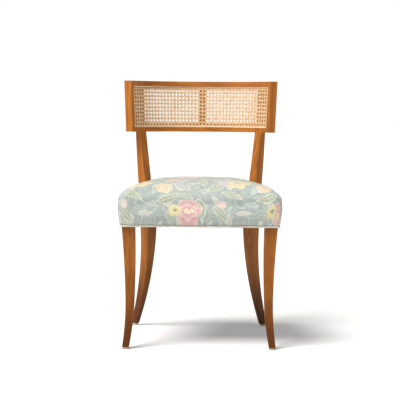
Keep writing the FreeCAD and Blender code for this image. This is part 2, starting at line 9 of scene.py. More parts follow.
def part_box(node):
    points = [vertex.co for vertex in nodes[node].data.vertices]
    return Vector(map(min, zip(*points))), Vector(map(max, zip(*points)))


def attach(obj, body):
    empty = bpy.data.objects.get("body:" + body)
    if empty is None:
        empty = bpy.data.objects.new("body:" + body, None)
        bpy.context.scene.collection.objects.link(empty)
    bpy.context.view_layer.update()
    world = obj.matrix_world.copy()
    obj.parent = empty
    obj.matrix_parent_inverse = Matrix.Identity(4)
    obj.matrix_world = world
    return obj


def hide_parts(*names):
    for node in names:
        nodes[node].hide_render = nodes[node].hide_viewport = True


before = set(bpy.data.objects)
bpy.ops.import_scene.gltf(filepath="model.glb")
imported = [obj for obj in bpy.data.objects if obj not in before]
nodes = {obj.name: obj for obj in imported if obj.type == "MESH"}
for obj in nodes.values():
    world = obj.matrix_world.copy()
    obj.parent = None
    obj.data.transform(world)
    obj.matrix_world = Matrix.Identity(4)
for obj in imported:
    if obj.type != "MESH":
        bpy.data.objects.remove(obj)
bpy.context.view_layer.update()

bl_info = {
    "name": "Klismos Chair",
    "version": (1, 0, 0),
    "blender": (4, 5, 0),
    "location": "View3D > Sidebar > Klismos Chair",
    "description": "Dresses the klismos chair: show-wood, cane back, upholstered seat and stage",
    "category": "Object",
}

# Places that the frame gives, in metres
seat_low, seat_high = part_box("seat_cover")
welt_low, welt_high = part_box("seat_welt")
dust_low, dust_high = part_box("dust_cover")
hessian_low, hessian_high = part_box("spring_hessian")
strap_low, strap_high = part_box("webbing_front_to_back")
cross_low, cross_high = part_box("webbing_side_to_side")
leg_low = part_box("front_leg_right")[0]
total_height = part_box("back_top_rail")[1].z

# The seat frame's front line, from which the part's depths are laid out
frame_line = leg_low.y + 0.04825
back_bottom = 0.665
back_rise = total_height - back_bottom
back_axis = frame_line + 0.27115
back_radius = 0.2605
back_flare = 0.0100
back_lean = 0.0245
back_thickness = 0.026
sight_angle = 1.01213
sight_low = 0.680
sight_high = 0.821
post_turn = math.radians(48.6)
cane_depth = 0.0024
spline_depth = 0.0030
spline_width = 0.0040
spline_height = 0.0021
seat_reach = 0.1973
rail_top = 0.452

# The seat's right-hand corners in plan at the hem, and how the front one spreads as the sides swell
front_corner = (0.25371, -0.0085)
side_corner = (0.20092, 0.40853)
rear_corner = (0.18274, 0.45591)
front_spread = 1.135
frame_swell = -0.0085
post_gap = 0.0005


corners = ("front_right", "front_left", "rear_right", "rear_left")


# Small tools

def linear(red, green, blue):
    """A colour read as 0 to 255 on a screen, as the numbers that the shader takes."""
    out = []
    for part in (red, green, blue):
        part = part / 255
        out.append(part / 12.92 if part <= 0.04045 else ((part + 0.055) / 1.055) ** 2.4)
    return tuple(out) + (1.0,)


def solid(colour):
    """A property's colour with its opacity."""
    return tuple(colour) + (1,)


class Wire:
    """A node's socket that takes part in sums, so that node maths reads as plain maths."""

    def __init__(self, bench, socket):
        self.bench = bench
        self.socket = socket

    def __add__(self, other):
        return self.bench.maths("ADD", self, other)

    __radd__ = __add__

    def __sub__(self, other):
        return self.bench.maths("SUBTRACT", self, other)

    def __rsub__(self, other):
        return self.bench.maths("SUBTRACT", other, self)

    def __mul__(self, other):
        return self.bench.maths("MULTIPLY", self, other)

    __rmul__ = __mul__

    def __truediv__(self, other):
        return self.bench.maths("DIVIDE", self, other)

    def __pow__(self, other):
        return self.bench.maths("POWER", self, other)

    def __neg__(self):
        return self.bench.maths("MULTIPLY", self, -1)


class Bench:
    """One node tree, with one way of putting a node into it."""

    def __init__(self, tree):
        self.tree = tree

    def join(self, socket, value):
        if isinstance(value, Wire):
            self.tree.links.new(value.socket, socket)
        else:
            socket.default_value = value

    def add(self, kind, values=None, out=0, stops=None, **settings):
        """A node of this kind: its settings first, then the values or links of its sockets."""
        node = self.tree.nodes.new(kind)
        for name, value in settings.items():
            setattr(node, name, value)
        if stops:
            ramp = node.color_ramp.elements
            ramp.remove(ramp[1])
            ramp[0].position, ramp[0].color = stops[0]
            for place, colour in stops[1:]:
                ramp.new(place).color = colour
        for key, value in (values or {}).items():
            self.join(node.inputs[key], value)
        return Wire(self, node.outputs[out])

    def maths(self, operation, *values):
        return self.add("ShaderNodeMath", dict(enumerate(values)), operation=operation)

    def least(self, a, b):
        return self.maths("MINIMUM", a, b)

    def most(self, a, b):
        return self.maths("MAXIMUM", a, b)

    def size(self, a):
        return self.maths("ABSOLUTE", a)

    def sine(self, a):
        return self.maths("SINE", a)

    def cosine(self, a):
        return self.maths("COSINE", a)

    def vector(self, x, y, z):
        return self.add("ShaderNodeCombineXYZ", {0: x, 1: y, 2: z})

    def split(self, vector):
        first = self.add("ShaderNodeSeparateXYZ", {0: vector})
        outputs = first.socket.node.outputs
        return [Wire(self, outputs[i]) for i in range(3)]

    def rise(self, value, low, high, to_low=0.0, to_high=1.0):
        """A smooth step from to_low to to_high as the value goes from low to high."""
        values = {"Value": value, "From Min": low, "From Max": high, "To Min": to_low, "To Max": to_high}
        return self.add("ShaderNodeMapRange", values, interpolation_type="SMOOTHSTEP")

    def mix(self, share, first, second):
        return self.add("ShaderNodeMix", {0: share, 6: first, 7: second}, 2, data_type="RGBA")

    def multiply(self, share, first, second):
        values = {0: share, 6: first, 7: second}
        return self.add("ShaderNodeMix", values, 2, data_type="RGBA", blend_type="MULTIPLY")

    def noise(self, vector, scale, detail=2.0, roughness=0.5, distortion=0.0):
        values = {"Vector": vector, "Scale": scale, "Detail": detail, "Roughness": roughness}
        values["Distortion"] = distortion
        return self.add("ShaderNodeTexNoise", values)

    def place(self):
        return self.add("ShaderNodeTexCoord", out="Object")

    def bump(self, height, strength, distance):
        return self.add("ShaderNodeBump", {"Strength": strength, "Distance": distance, "Height": height})

    def close(self, kind, name, wire):
        """Ends the tree in an output node."""
        self.join(self.tree.nodes.new(kind).inputs[name], wire)

    def seen(self):
        """1 where the camera looks straight or by a mirror, 0 for the light that falls."""
        direct = self.add("ShaderNodeLightPath", out="Is Camera Ray")
        mirrored = self.add("ShaderNodeLightPath", out="Is Glossy Ray")
        return self.most(direct, mirrored)

    def round_profile(self, resolution, radius):
        values = {"Resolution": resolution, "Radius": radius}
        return self.add("GeometryNodeCurvePrimitiveCircle", values, mode="RADIUS")

    def resample(self, curve, length):
        return self.add("GeometryNodeResampleCurve", {"Curve": curve, "Length": length}, mode="LENGTH")

    def store(self, geometry, name, value):
        """Keeps a number on each instance under a name."""
        values = {"Geometry": geometry, "Name": name, "Value": value}
        return self.add("GeometryNodeStoreNamedAttribute", values, data_type="FLOAT", domain="INSTANCE")


def new_material(name):
    material = bpy.data.materials.new(name)
    material.use_nodes = True
    material.node_tree.nodes.clear()
    return material, Bench(material.node_tree)


def close_material(bench, **sockets):
    """Ends a material in one Principled shader with these sockets."""
    values = {name.replace("_", " "): value for name, value in sockets.items()}
    shader = bench.add("ShaderNodeBsdfPrincipled", values)
    bench.close("ShaderNodeOutputMaterial", "Surface", shader)


def one_material(piece, material):
    piece.data.materials.clear()
    piece.data.materials.append(material)


def paint(material, *names):
    """Gives CAD nodes' objects this material."""
    for name in names:
        one_material(nodes[name], material)


def new_piece(name, bm, material):
    mesh = bpy.data.meshes.new(name)
    bm.to_mesh(mesh)
    bm.free()
    mesh.materials.append(material)
    piece = bpy.data.objects.new(name, mesh)
    bpy.context.scene.collection.objects.link(piece)
    return piece


def smooth(piece):
    for face in piece.data.polygons:
        face.use_smooth = True


def plain_mesh(piece):
    """Replaces a piece's mesh by what its modifiers make, and takes the modifiers off."""
    graph = bpy.context.evaluated_depsgraph_get()
    made = bpy.data.meshes.new_from_object(piece.evaluated_get(graph))
    piece.modifiers.clear()
    old = piece.data
    piece.data = made
    bpy.data.meshes.remove(old)
    return piece


def reshape(piece, kind, **settings):
    """Runs one modifier with these settings and keeps the plain mesh."""
    modifier = piece.modifiers.new("made", kind)
    for name, value in settings.items():
        setattr(modifier, name, value)
    return plain_mesh(piece)


def read_vertices(mesh, name):
    """A vector of every vertex, one to a row."""
    out = np.empty(len(mesh.vertices) * 3)
    mesh.vertices.foreach_get(name, out)
    return out.reshape(-1, 3)


def write_places(mesh, places):
    mesh.vertices.foreach_set("co", places.ravel())
    mesh.update()


def slab(bm, first, second):
    """A closed slab between two grids of points of the same size; its faces still need turning."""
    first, second = [[[bm.verts.new(point) for point in row] for row in grid] for grid in (first, second)]
    rows, columns = len(first) - 1, len(first[0]) - 1
    for i in range(rows):
        for j in range(columns):
            bm.faces.new((first[i][j], first[i][j + 1], first[i + 1][j + 1], first[i + 1][j]))
            bm.faces.new((second[i][j + 1], second[i][j], second[i + 1][j], second[i + 1][j + 1]))
        bm.faces.new((first[i][0], first[i + 1][0], second[i + 1][0], second[i][0]))
        bm.faces.new((first[i + 1][columns], first[i][columns], second[i][columns], second[i + 1][columns]))
    for j in range(columns):
        bm.faces.new((first[0][j + 1], first[0][j], second[0][j], second[0][j + 1]))
        bm.faces.new((first[rows][j], first[rows][j + 1], second[rows][j + 1], second[rows][j]))


def closed_wire(name, points, material):
    """A ring of edges through these points."""
    bm = bmesh.new()
    ring = [bm.verts.new(point) for point in points]
    for i in range(len(ring)):
        bm.edges.new((ring[i], ring[(i + 1) % len(ring)]))
    return new_piece(name, bm, material)


def node_copy(name, grow=0.0):
    """A closed copy of a CAD node's mesh, grown outwards, as a tool for cutting."""
    bm = bmesh.new()
    bm.from_mesh(nodes[name].data)
    bmesh.ops.remove_doubles(bm, verts=bm.verts, dist=0.00001)
    bm.normal_update()
    if grow:
        for vert in bm.verts:
            vert.co += vert.normal * grow
    mesh = bpy.data.meshes.new("cutter")
    bm.to_mesh(mesh)
    bm.free()
    tool = bpy.data.objects.new("cutter_" + name, mesh)
    bpy.context.scene.collection.objects.link(tool)
    return tool


def cut(piece, tools, operation="DIFFERENCE"):
    """Cuts a closed piece with closed tools, which are then thrown away."""
    for tool in tools:
        reshape(piece, "BOOLEAN", operation=operation, solver="MANIFOLD", object=tool)
        bpy.data.objects.remove(tool)
    return piece


def post_tools():
    return [node_copy("rear_post_" + side, post_gap) for side in ("right", "left")]


def stand(piece, slot, *replaced):
    """Puts a finished piece on the chair: its body and the nodes that it stands for; slot is not used."""
    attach(piece, "root")
    if replaced:
        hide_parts(*replaced)
    return piece


# The seat's outline, drawn as the part draws it

def seat_corners(swell):
    """The seat's right-hand corners in plan: front, side at the post, rear."""
    return [
        (front_corner[0] + front_spread * swell, front_corner[1] - swell),
        (side_corner[0] + swell, side_corner[1]),
        (rear_corner[0] + swell, rear_corner[1] + swell),
    ]


def arc_points(corner, before, after, radius, count):
    """The points of a round at a corner between two neighbours."""
    first = (before - corner).normalized()
    second = (after - corner).normalized()
    half = first.angle(second) / 2
    reach = radius / math.tan(half)
    middle = corner + (first + second).normalized() * (radius / math.sin(half))
    start = corner + first * reach - middle
    turn = math.pi - 2 * half
    sign = 1 if first.x * second.y - first.y * second.x < 0 else -1
    out = []
    for i in range(count + 1):
        a = sign * turn * i / count
        x = start.x * math.cos(a) - start.y * math.sin(a)
        y = start.x * math.sin(a) + start.y * math.cos(a)
        out.append(middle + Vector((x, y)))
    return out


def seat_loop(swell, scale=1.0, side_steps=24, round_steps=6):
    """One level section of the seat as plan points, all round, with a fixed number of points."""
    corners = seat_corners(swell)
    middle = (corners[2][1] + corners[0][1]) / 2
    right = [Vector((x * scale, middle + (y - middle) * scale)) for x, y in corners]
    ring = right + [Vector((-p.x, p.y)) for p in reversed(right)]
    soft = 0.060 * (1 - scale)
    limit = right[2].x
    front = min(0.6 * limit, 0.020 + swell + soft)
    rear = min(0.2 * limit, 0.004 + 0.4 * soft)
    radii = [front, rear, rear, rear, rear, front]
    rounds = []
    for i, corner in enumerate(ring):
        rounds.append(arc_points(corner, ring[i - 1], ring[(i + 1) % 6], radii[i], round_steps))
    points = []
    for i, arc in enumerate(rounds):
        points += arc
        start, end = arc[-1], rounds[(i + 1) % 6][0]
        steps = side_steps if i in (0, 2, 4, 5) else 6
        points += [start.lerp(end, k / steps) for k in range(1, steps)]
    return [Vector((p.x, p.y + frame_line)) for p in points]


def loft(loops, name, material):
    """A skin over loops of plan points at their heights; the ends are closed flat."""
    bm = bmesh.new()
    rows = [[bm.verts.new((p.x, p.y, z)) for p in points] for points, z in loops]
    for low, high in zip(rows, rows[1:]):
        for i in range(len(low)):
            j = (i + 1) % len(low)
            bm.faces.new((low[i], low[j], high[j], high[i]))
    bm.faces.new(list(reversed(rows[0])))
    bm.faces.new(rows[-1])
    bmesh.ops.recalc_face_normals(bm, faces=bm.faces)
    return new_piece(name, bm, material)


# Wood

def along_leg(bench):
    x, y, z = bench.split(bench.place())
    return z, x, y


def along_post(side):
    """Grain up a rear post, whose faces are turned to face its own radial plane."""
    def grain(bench):
        x, y, z = bench.split(bench.place())
        across = x * (side * math.cos(post_turn)) - y * math.sin(post_turn)
        radial = x * (side * math.sin(post_turn)) + y * math.cos(post_turn)
        return z, across, radial
    return grain


def back_place(bench):
    """Angle, radius and height on the curved back."""
    x, y, z = bench.split(bench.place())
    rise = (z - back_bottom) / back_rise
    behind = y - (rise * back_lean + back_axis)
    angle = bench.maths("ARCTAN2", x, behind)
    radius = bench.maths("SQRT", x * x + behind * behind)
    return angle, radius, z


def along_back(bench):
    angle, radius, z = back_place(bench)
    return angle * back_radius, z, radius


def up_back(bench):
    angle, radius, z = back_place(bench)
    return z, angle * back_radius, radius


def along_x(bench):
    x, y, z = bench.split(bench.place())
    return x, z, y


def along_y(bench):
    x, y, z = bench.split(bench.place())
    return y, z, x


def wood(name, grain, wood_props, offset=0.0, floor_shaded=True, raw=False, lightened=False):
    """Fruitwood with growth bands, fibre, pores and a rubbed lacquer; painted shade can darken the legs
    towards the floor, and the colour can be made lighter up high.
    """
    material, bench = new_material(name)
    along, side, deep = grain(bench)
    along = along + offset
    bands_at = bench.vector(side * 34, deep * 34, along * 2.6)
    wander = bench.noise(bench.vector(side * 9, deep * 9, along * 1.7), 1.0, 3.0)
    rings = bench.sine((bench.noise(bands_at, 1.0, 2.0, 0.5, 0.6) * 5.5 + wander * 4.0) * 6.0)
    rings = rings * 0.5 + 0.5
    fibre = bench.noise(bench.vector(side * 700, deep * 700, along * 16), 1.0, 3.0, 0.65)
    pores_at = bench.vector(side * 1500, deep * 1500, along * 110)
    pores = bench.rise(bench.noise(pores_at, 1.0, 1.0), 0.66, 0.76)
    blotch = bench.noise(bench.vector(side * 12, deep * 12, along * 5), 1.0, 2.0)
    if raw:
        shades = wood_props.raw_dark, wood_props.raw_middle, wood_props.raw_light
    else:
        shades = wood_props.dark, wood_props.middle, wood_props.light
    dark, middle, light = [solid(shade) for shade in shades]
    x, y, z = bench.split(bench.place())
    colour = bench.mix(bench.rise(rings, 0.0, 1.0, 0.2, 0.7), middle, light)
    colour = bench.mix(bench.rise(fibre, 0.35, 0.75, 0.0, 0.55), colour, middle)
    colour = bench.mix(bench.rise(blotch, 0.42, 0.72, 0.0, 0.35), colour, dark)
    colour = bench.mix(pores * wood_props.pore_strength, colour, dark)
    # Painted shade: the legs darken towards the floor, standing in for the light that falls off there.
    if floor_shaded:
        foot = bench.rise(z, 0.0, 0.26, wood_props.foot_shade, 0.0)
        colour = bench.mix(foot, colour, dark)
    # The colour is multiplied lighter above the seat's height.
    if lightened:
        gain = wood_props.upper_gain
        colour = bench.multiply(bench.rise(z, 0.36, 0.50), colour, (gain, gain, gain, 1.0))
    height = fibre * 0.5 - pores
    if raw:
        normal = bench.bump(height, 0.35, 0.0004)
        close_material(bench, Base_Color=colour, Roughness=fibre * 0.15 + 0.62, Normal=normal)
        return material
    rough = bench.rise(fibre, 0.3, 0.8, 0.34, 0.44) + pores * 0.15
    normal = bench.bump(height, 0.12, 0.00025)
    coat = bench.rise(blotch, 0.3, 0.7, 0.10, 0.05)
    close_material(
        bench, Base_Color=colour, Roughness=rough, Normal=normal, Coat_Weight=coat, Coat_Roughness=0.25,
        Specular_IOR_Level=0.14,
    )
    return material


# Cane

def cane_material(name, cane_props, tone_name="strand"):
    """Peeled rattan: a glossy straw skin, each strand of its own shade, with darker patches and fine lines.
    """
    material, bench = new_material(name)
    tone = bench.add("ShaderNodeAttribute", out="Fac", attribute_name=tone_name)
    at = bench.place()
    x, y, z = bench.split(at)
    mottle = bench.noise(at, 90.0, 2.0)
    lines = bench.noise(bench.vector(x * 1800, y * 1800, z * 1800), 1.0, 1.0)
    light, deep = solid(cane_props.light), solid(cane_props.deep)
    colour = bench.mix(bench.rise(tone + (mottle - 0.5) * 0.7, 0.0, 1.0), light, deep)
    age = bench.rise(mottle, 0.6, 0.78, 0.0, 0.45)
    colour = bench.mix(age, colour, linear(186, 132, 76))
    normal = bench.bump(lines, 0.15, 0.0002)
    close_material(bench, Base_Color=colour, Roughness=mottle * 0.2 + 0.38, Normal=normal)
    return material


def back_bend(bench, geometry, face, middle_depth):
    """Bends flat cane work onto the back: x runs round it, y up it and z towards its face."""
    u, v, w = bench.split(bench.add("GeometryNodeInputPosition"))
    rise = (v - back_bottom) / back_rise
    depth = (w * -face) + middle_depth
    radius = rise * back_flare + back_radius + depth
    angle = u / back_radius
    x = bench.sine(angle) * radius
    y = bench.cosine(angle) * radius + rise * back_lean + back_axis
    bent = bench.vector(x, y, v)
    return bench.add("GeometryNodeSetPosition", {"Geometry": geometry, "Position": bent})


def tree_with_inputs(name, sizes):
    """A geometry tree with a geometry output and one named input for each size."""
    tree = bpy.data.node_groups.new(name, "GeometryNodeTree")
    tree.interface.new_socket("Geometry", in_out="INPUT", socket_type="NodeSocketGeometry")
    tree.interface.new_socket("Geometry", in_out="OUTPUT", socket_type="NodeSocketGeometry")
    for label in sizes:
        tree.interface.new_socket(label, in_out="INPUT", socket_type="NodeSocketFloat")
    bench = Bench(tree)
    entry = tree.nodes.new("NodeGroupInput")
    wires = {socket.name: Wire(bench, socket) for socket in entry.outputs if socket.name}
    return tree, bench, wires


def run_tree(piece, tree, bench, geometry, material, sizes):
    """Ends the tree, runs it on the piece with these sizes and keeps the plain mesh."""
    geometry = bench.add("GeometryNodeRealizeInstances", {"Geometry": geometry})
    geometry = bench.add("GeometryNodeSetMaterial", {"Geometry": geometry, "Material": material})
    bench.close("NodeGroupOutput", "Geometry", geometry)
    modifier = piece.modifiers.new("made", "NODES")
    modifier.node_group = tree
    for item in tree.interface.items_tree:
        if item.item_type == "SOCKET" and item.in_out == "INPUT" and item.name in sizes:
            modifier[item.identifier] = float(sizes[item.name])
    plain_mesh(piece)
    one_material(piece, material)
    bpy.data.node_groups.remove(tree)


def strand_rows(bench, count, start, step, length, turn, spacing, seed):
    """Parallel strands: lines of one length set out along a row of points, each with its tone."""
    row = bench.add(
        "GeometryNodeMeshLine", {"Count": count, "Start Location": start, "Offset": step}, mode="OFFSET",
    )
    line = bench.add("GeometryNodeCurvePrimitiveLine", {"Start": (0, 0, 0), "End": (1, 0, 0)})
    rotation = bench.vector(0.0, 0.0, turn)
    scale = bench.vector(length, 1.0, 1.0)
    values = {"Points": row, "Instance": line, "Rotation": rotation, "Scale": scale}
    lines = bench.add("GeometryNodeInstanceOnPoints", values)
    tone = bench.add("FunctionNodeRandomValue", {"Seed": seed}, 1, data_type="FLOAT")
    lines = bench.store(lines, "strand", tone)
    lines = bench.store(lines, "order", bench.add("GeometryNodeInputIndex"))
    lines = bench.add("GeometryNodeRealizeInstances", {"Geometry": lines})
    return bench.resample(lines, spacing)


def strand_profile(bench, width, thick):
    """The strand's section: flat at the back, crowned in front, as peeled cane is."""
    points = bench.round_profile(6, 1.0)
    x, y, z = bench.split(bench.add("GeometryNodeInputPosition"))
    flat = bench.most(y, -0.35)
    shape = bench.vector(x * width / 2, flat * thick / 1.35, 0.0)
    return bench.add("GeometryNodeSetPosition", {"Geometry": points, "Position": shape})


def cane_panel(name, face, middle_depth, cane_props, material):
    """Six-way cane: pairs upright, pairs across and two diagonals, woven, then bent onto the back."""
    labels = ["Pitch Across", "Pitch Up", "Pair Gap", "Strand Width", "Strand Thickness", "Half Width"]
    labels += ["Low", "High", "Column Shift", "Row Shift"]
    tree, bench, size = tree_with_inputs(name, labels)
    across, up, gap = size["Pitch Across"], size["Pitch Up"], size["Pair Gap"]
    half, low, high = size["Half Width"], size["Low"], size["High"]
    column, row_at = size["Column Shift"], size["Row Shift"]
    thick = size["Strand Thickness"]
    columns = int(cane_props.half_width * 2 / cane_props.pitch_across) + 8
    rows = int((sight_high - sight_low) / cane_props.pitch_up) + 4
    first_u = column - across * (columns // 2 + 0.5)
    first_v = row_at - up * 1.5
    reach_u = across * (columns + 1)
    reach_v = up * (rows + 1)
    groups = []

    def group(lines, offset_of, width):
        u, v, w = bench.split(bench.add("GeometryNodeInputPosition"))
        phase_u = (u - column) * math.pi / across
        phase_v = (v - row_at) * math.pi / up
        lift = offset_of(phase_u, phase_v) * thick
        values = {"Geometry": lines, "Position": bench.vector(u, v, lift)}
        placed = bench.add("GeometryNodeSetPosition", values)
        outside = bench.most(bench.size(u) - half, bench.most(low - v, v - high))
        outside = bench.maths("GREATER_THAN", outside, 0.0)
        values = {"Geometry": placed, "Selection": outside}
        kept = bench.add("GeometryNodeDeleteGeometry", values, domain="POINT")
        kept = bench.add("GeometryNodeSetCurveNormal", {"Curve": kept}, mode="Z_UP")
        swept = bench.add(
            "GeometryNodeCurveToMesh",
            {"Curve": kept, "Profile Curve": strand_profile(bench, width, thick), "Fill Caps": True},
        )
        groups.append(swept)

    order = bench.add("GeometryNodeInputNamedAttribute", {"Name": "order"}, data_type="FLOAT")
    flip = bench.cosine(order * math.pi)
    for k, shift in enumerate((-0.5, 0.5)):
        start = bench.vector(first_u + gap * shift, first_v - up * 0.5, 0.0)
        lines = strand_rows(
            bench, columns, start, bench.vector(across, 0.0, 0.0), reach_v, math.pi / 2, up / 4, 3 + k,
        )
        group(lines, lambda pu, pv: bench.sine(pv) * flip * cane_props.weave, size["Strand Width"])
        start = bench.vector(first_u - across * 0.5, first_v + gap * shift, 0.0)
        lines = strand_rows(
            bench, rows, start, bench.vector(0.0, up, 0.0), reach_u, 0.0, across / 4, 11 + k,
        )
        group(lines, lambda pu, pv: bench.sine(pu) * flip * -cane_props.weave, size["Strand Width"])
    slope = bench.maths("ARCTAN2", up, across)
    run = bench.maths("SQRT", across * across + up * up)
    for k, side in enumerate((1, -1)):
        turn = slope if side > 0 else math.pi - slope
        low_u = first_u - across * (rows + 1) if side > 0 else first_u - across
        start = bench.vector(low_u, first_v - up * 0.5, 0.0)
        step = bench.vector(across, 0.0, 0.0)
        length = run * (rows + 1)
        lines = strand_rows(bench, columns + rows + 3, start, step, length, turn, run / 4, 23 + k)
        group(lines, lambda pu, pv: bench.cosine(pu * 2) * (-1.0 * side), size["Strand Width"] * 0.92)
    joined = bench.add("GeometryNodeJoinGeometry")
    for swept in reversed(groups):
        tree.links.new(swept.socket, joined.socket.node.inputs[0])
    bent = back_bend(bench, joined, face, middle_depth)
    bm = bmesh.new()
    bm.verts.new((0, 0, 0))
    piece = new_piece(name, bm, material)
    sizes = {
        "Pitch Across": cane_props.pitch_across * (back_radius + cane_depth) / (back_radius + middle_depth),
        "Pitch Up": cane_props.pitch_up,
        "Pair Gap": cane_props.pair_gap,
        "Strand Width": cane_props.strand_width,
        "Strand Thickness": cane_props.strand_thickness,
        "Half Width": cane_props.half_width,
        "Low": sight_low + cane_props.tuck,
        "High": sight_high - cane_props.tuck,
        "Column Shift": cane_props.column_shift if face > 0 else cane_props.rear_column_shift,
        "Row Shift": cane_props.row_place if face > 0 else cane_props.rear_row_place,
    }
    run_tree(piece, tree, bench, bent, material, sizes)
    return piece


def cane_spline(name, face, depth, material):
    """The reed spline: a rounded strip pressed into the groove all round the cane."""
    tree, bench, size = tree_with_inputs(name, ["Width", "Height", "Step"])
    half = sight_angle * back_radius - spline_width / 2
    low = sight_low + spline_width / 2
    high = sight_high - spline_width / 2
    corners = ((-half, low, 0), (half, low, 0), (half, high, 0), (-half, high, 0))
    piece = closed_wire(name, corners, material)
    curve = bench.add("GeometryNodeMeshToCurve", {"Mesh": size["Geometry"]})
    curve = bench.add("GeometryNodeFilletCurve", {"Curve": curve, "Radius": 0.0025, "Count": 3}, mode="POLY")
    curve = bench.resample(curve, size["Step"])
    curve = bench.add("GeometryNodeSetCurveNormal", {"Curve": curve}, mode="Z_UP")
    circle = bench.round_profile(14, 1.0)
    x, y, z = bench.split(bench.add("GeometryNodeInputPosition"))
    shape = bench.vector(x * size["Width"] / 2, bench.most(y, -0.6) * size["Height"], 0.0)
    profile = bench.add("GeometryNodeSetPosition", {"Geometry": circle, "Position": shape})
    swept = bench.add("GeometryNodeCurveToMesh", {"Curve": curve, "Profile Curve": profile})
    bent = back_bend(bench, swept, face, depth)
    sizes = {"Width": spline_width, "Height": spline_height, "Step": 0.004}
    run_tree(piece, tree, bench, bent, material, sizes)
    smooth(piece)
    return piece


# Cloth

def wrap(bench, value, size):
    """The distance from a motif that repeats every so many metres."""
    return bench.maths("WRAP", value, size / 2, -size / 2)


def bloom(bench, at, repeat, centre, radius, petals, turn, colours):
    """A many-petalled flower seen from above: its cover mask and its colour."""
    u, v = at
    du = wrap(bench, u - centre[0], repeat[0])
    dv = wrap(bench, v - centre[1], repeat[1])
    far = bench.maths("SQRT", du * du + dv * dv) / radius
    angle = bench.maths("ARCTAN2", dv, du) + turn
    outer, inner, heart, line = colours
    edge = bench.size(bench.cosine(angle * (petals / 2))) ** 0.45 * 0.26 + 0.74
    mask = bench.rise(edge - far, 0.0, 0.05)
    second = bench.size(bench.cosine(angle * (petals / 2) + 1.3)) ** 0.5 * 0.2 + 0.44
    third = bench.size(bench.cosine(angle * (petals / 2 - 0.5) + 0.4)) * 0.1 + 0.2
    colour = bench.mix(bench.rise(far, 0.5, 1.0), inner, outer)
    vein = bench.rise(bench.sine(angle * (petals * 5)), 0.2, 1.0, 0.0, 0.22)
    colour = bench.mix(vein, colour, inner)
    rim = bench.rise(bench.size(edge - far - 0.03), 0.05, 0.0)
    colour = bench.mix(rim * 0.6, colour, line)
    centre_shade = bench.mix(bench.rise(far, 0.2, 0.6), inner, outer)
    colour = bench.mix(bench.rise(second - far, 0.0, 0.03), colour, centre_shade)
    fold = bench.rise(bench.size(second - far), 0.045, 0.0)
    colour = bench.mix(fold * 0.7, colour, line)
    colour = bench.mix(bench.rise(third - far, 0.0, 0.04), colour, heart)
    return mask, colour


def leaf(bench, at, repeat, centre, length, width, turn, colours):
    """A pointed leaf with a rib, side veins and a pale outline."""
    u, v = at
    du = wrap(bench, u - centre[0], repeat[0])
    dv = wrap(bench, v - centre[1], repeat[1])
    along = (du * math.cos(turn) + dv * math.sin(turn)) / (length / 2)
    side = (dv * math.cos(turn) - du * math.sin(turn)) / (width / 2)
    side = side + along * along * 0.25
    edge = bench.most(1 - along * along, -0.5)
    body = edge * (1.0 - bench.least(along, 1.5) * 0.35)
    gap = body - bench.size(side)
    mask = bench.rise(gap, 0.0, 0.08)
    fill, rib, line = colours
    veins = bench.sine(along * 16 - bench.size(side) * 5)
    colour = bench.mix(bench.rise(veins, 0.3, 0.9, 0.0, 0.45), fill, rib)
    colour = bench.mix(bench.rise(bench.size(side), 0.12, 0.03, 0.0, 0.8), colour, line)
    colour = bench.mix(bench.rise(gap, 0.3, 0.12), colour, line)
    return mask, colour


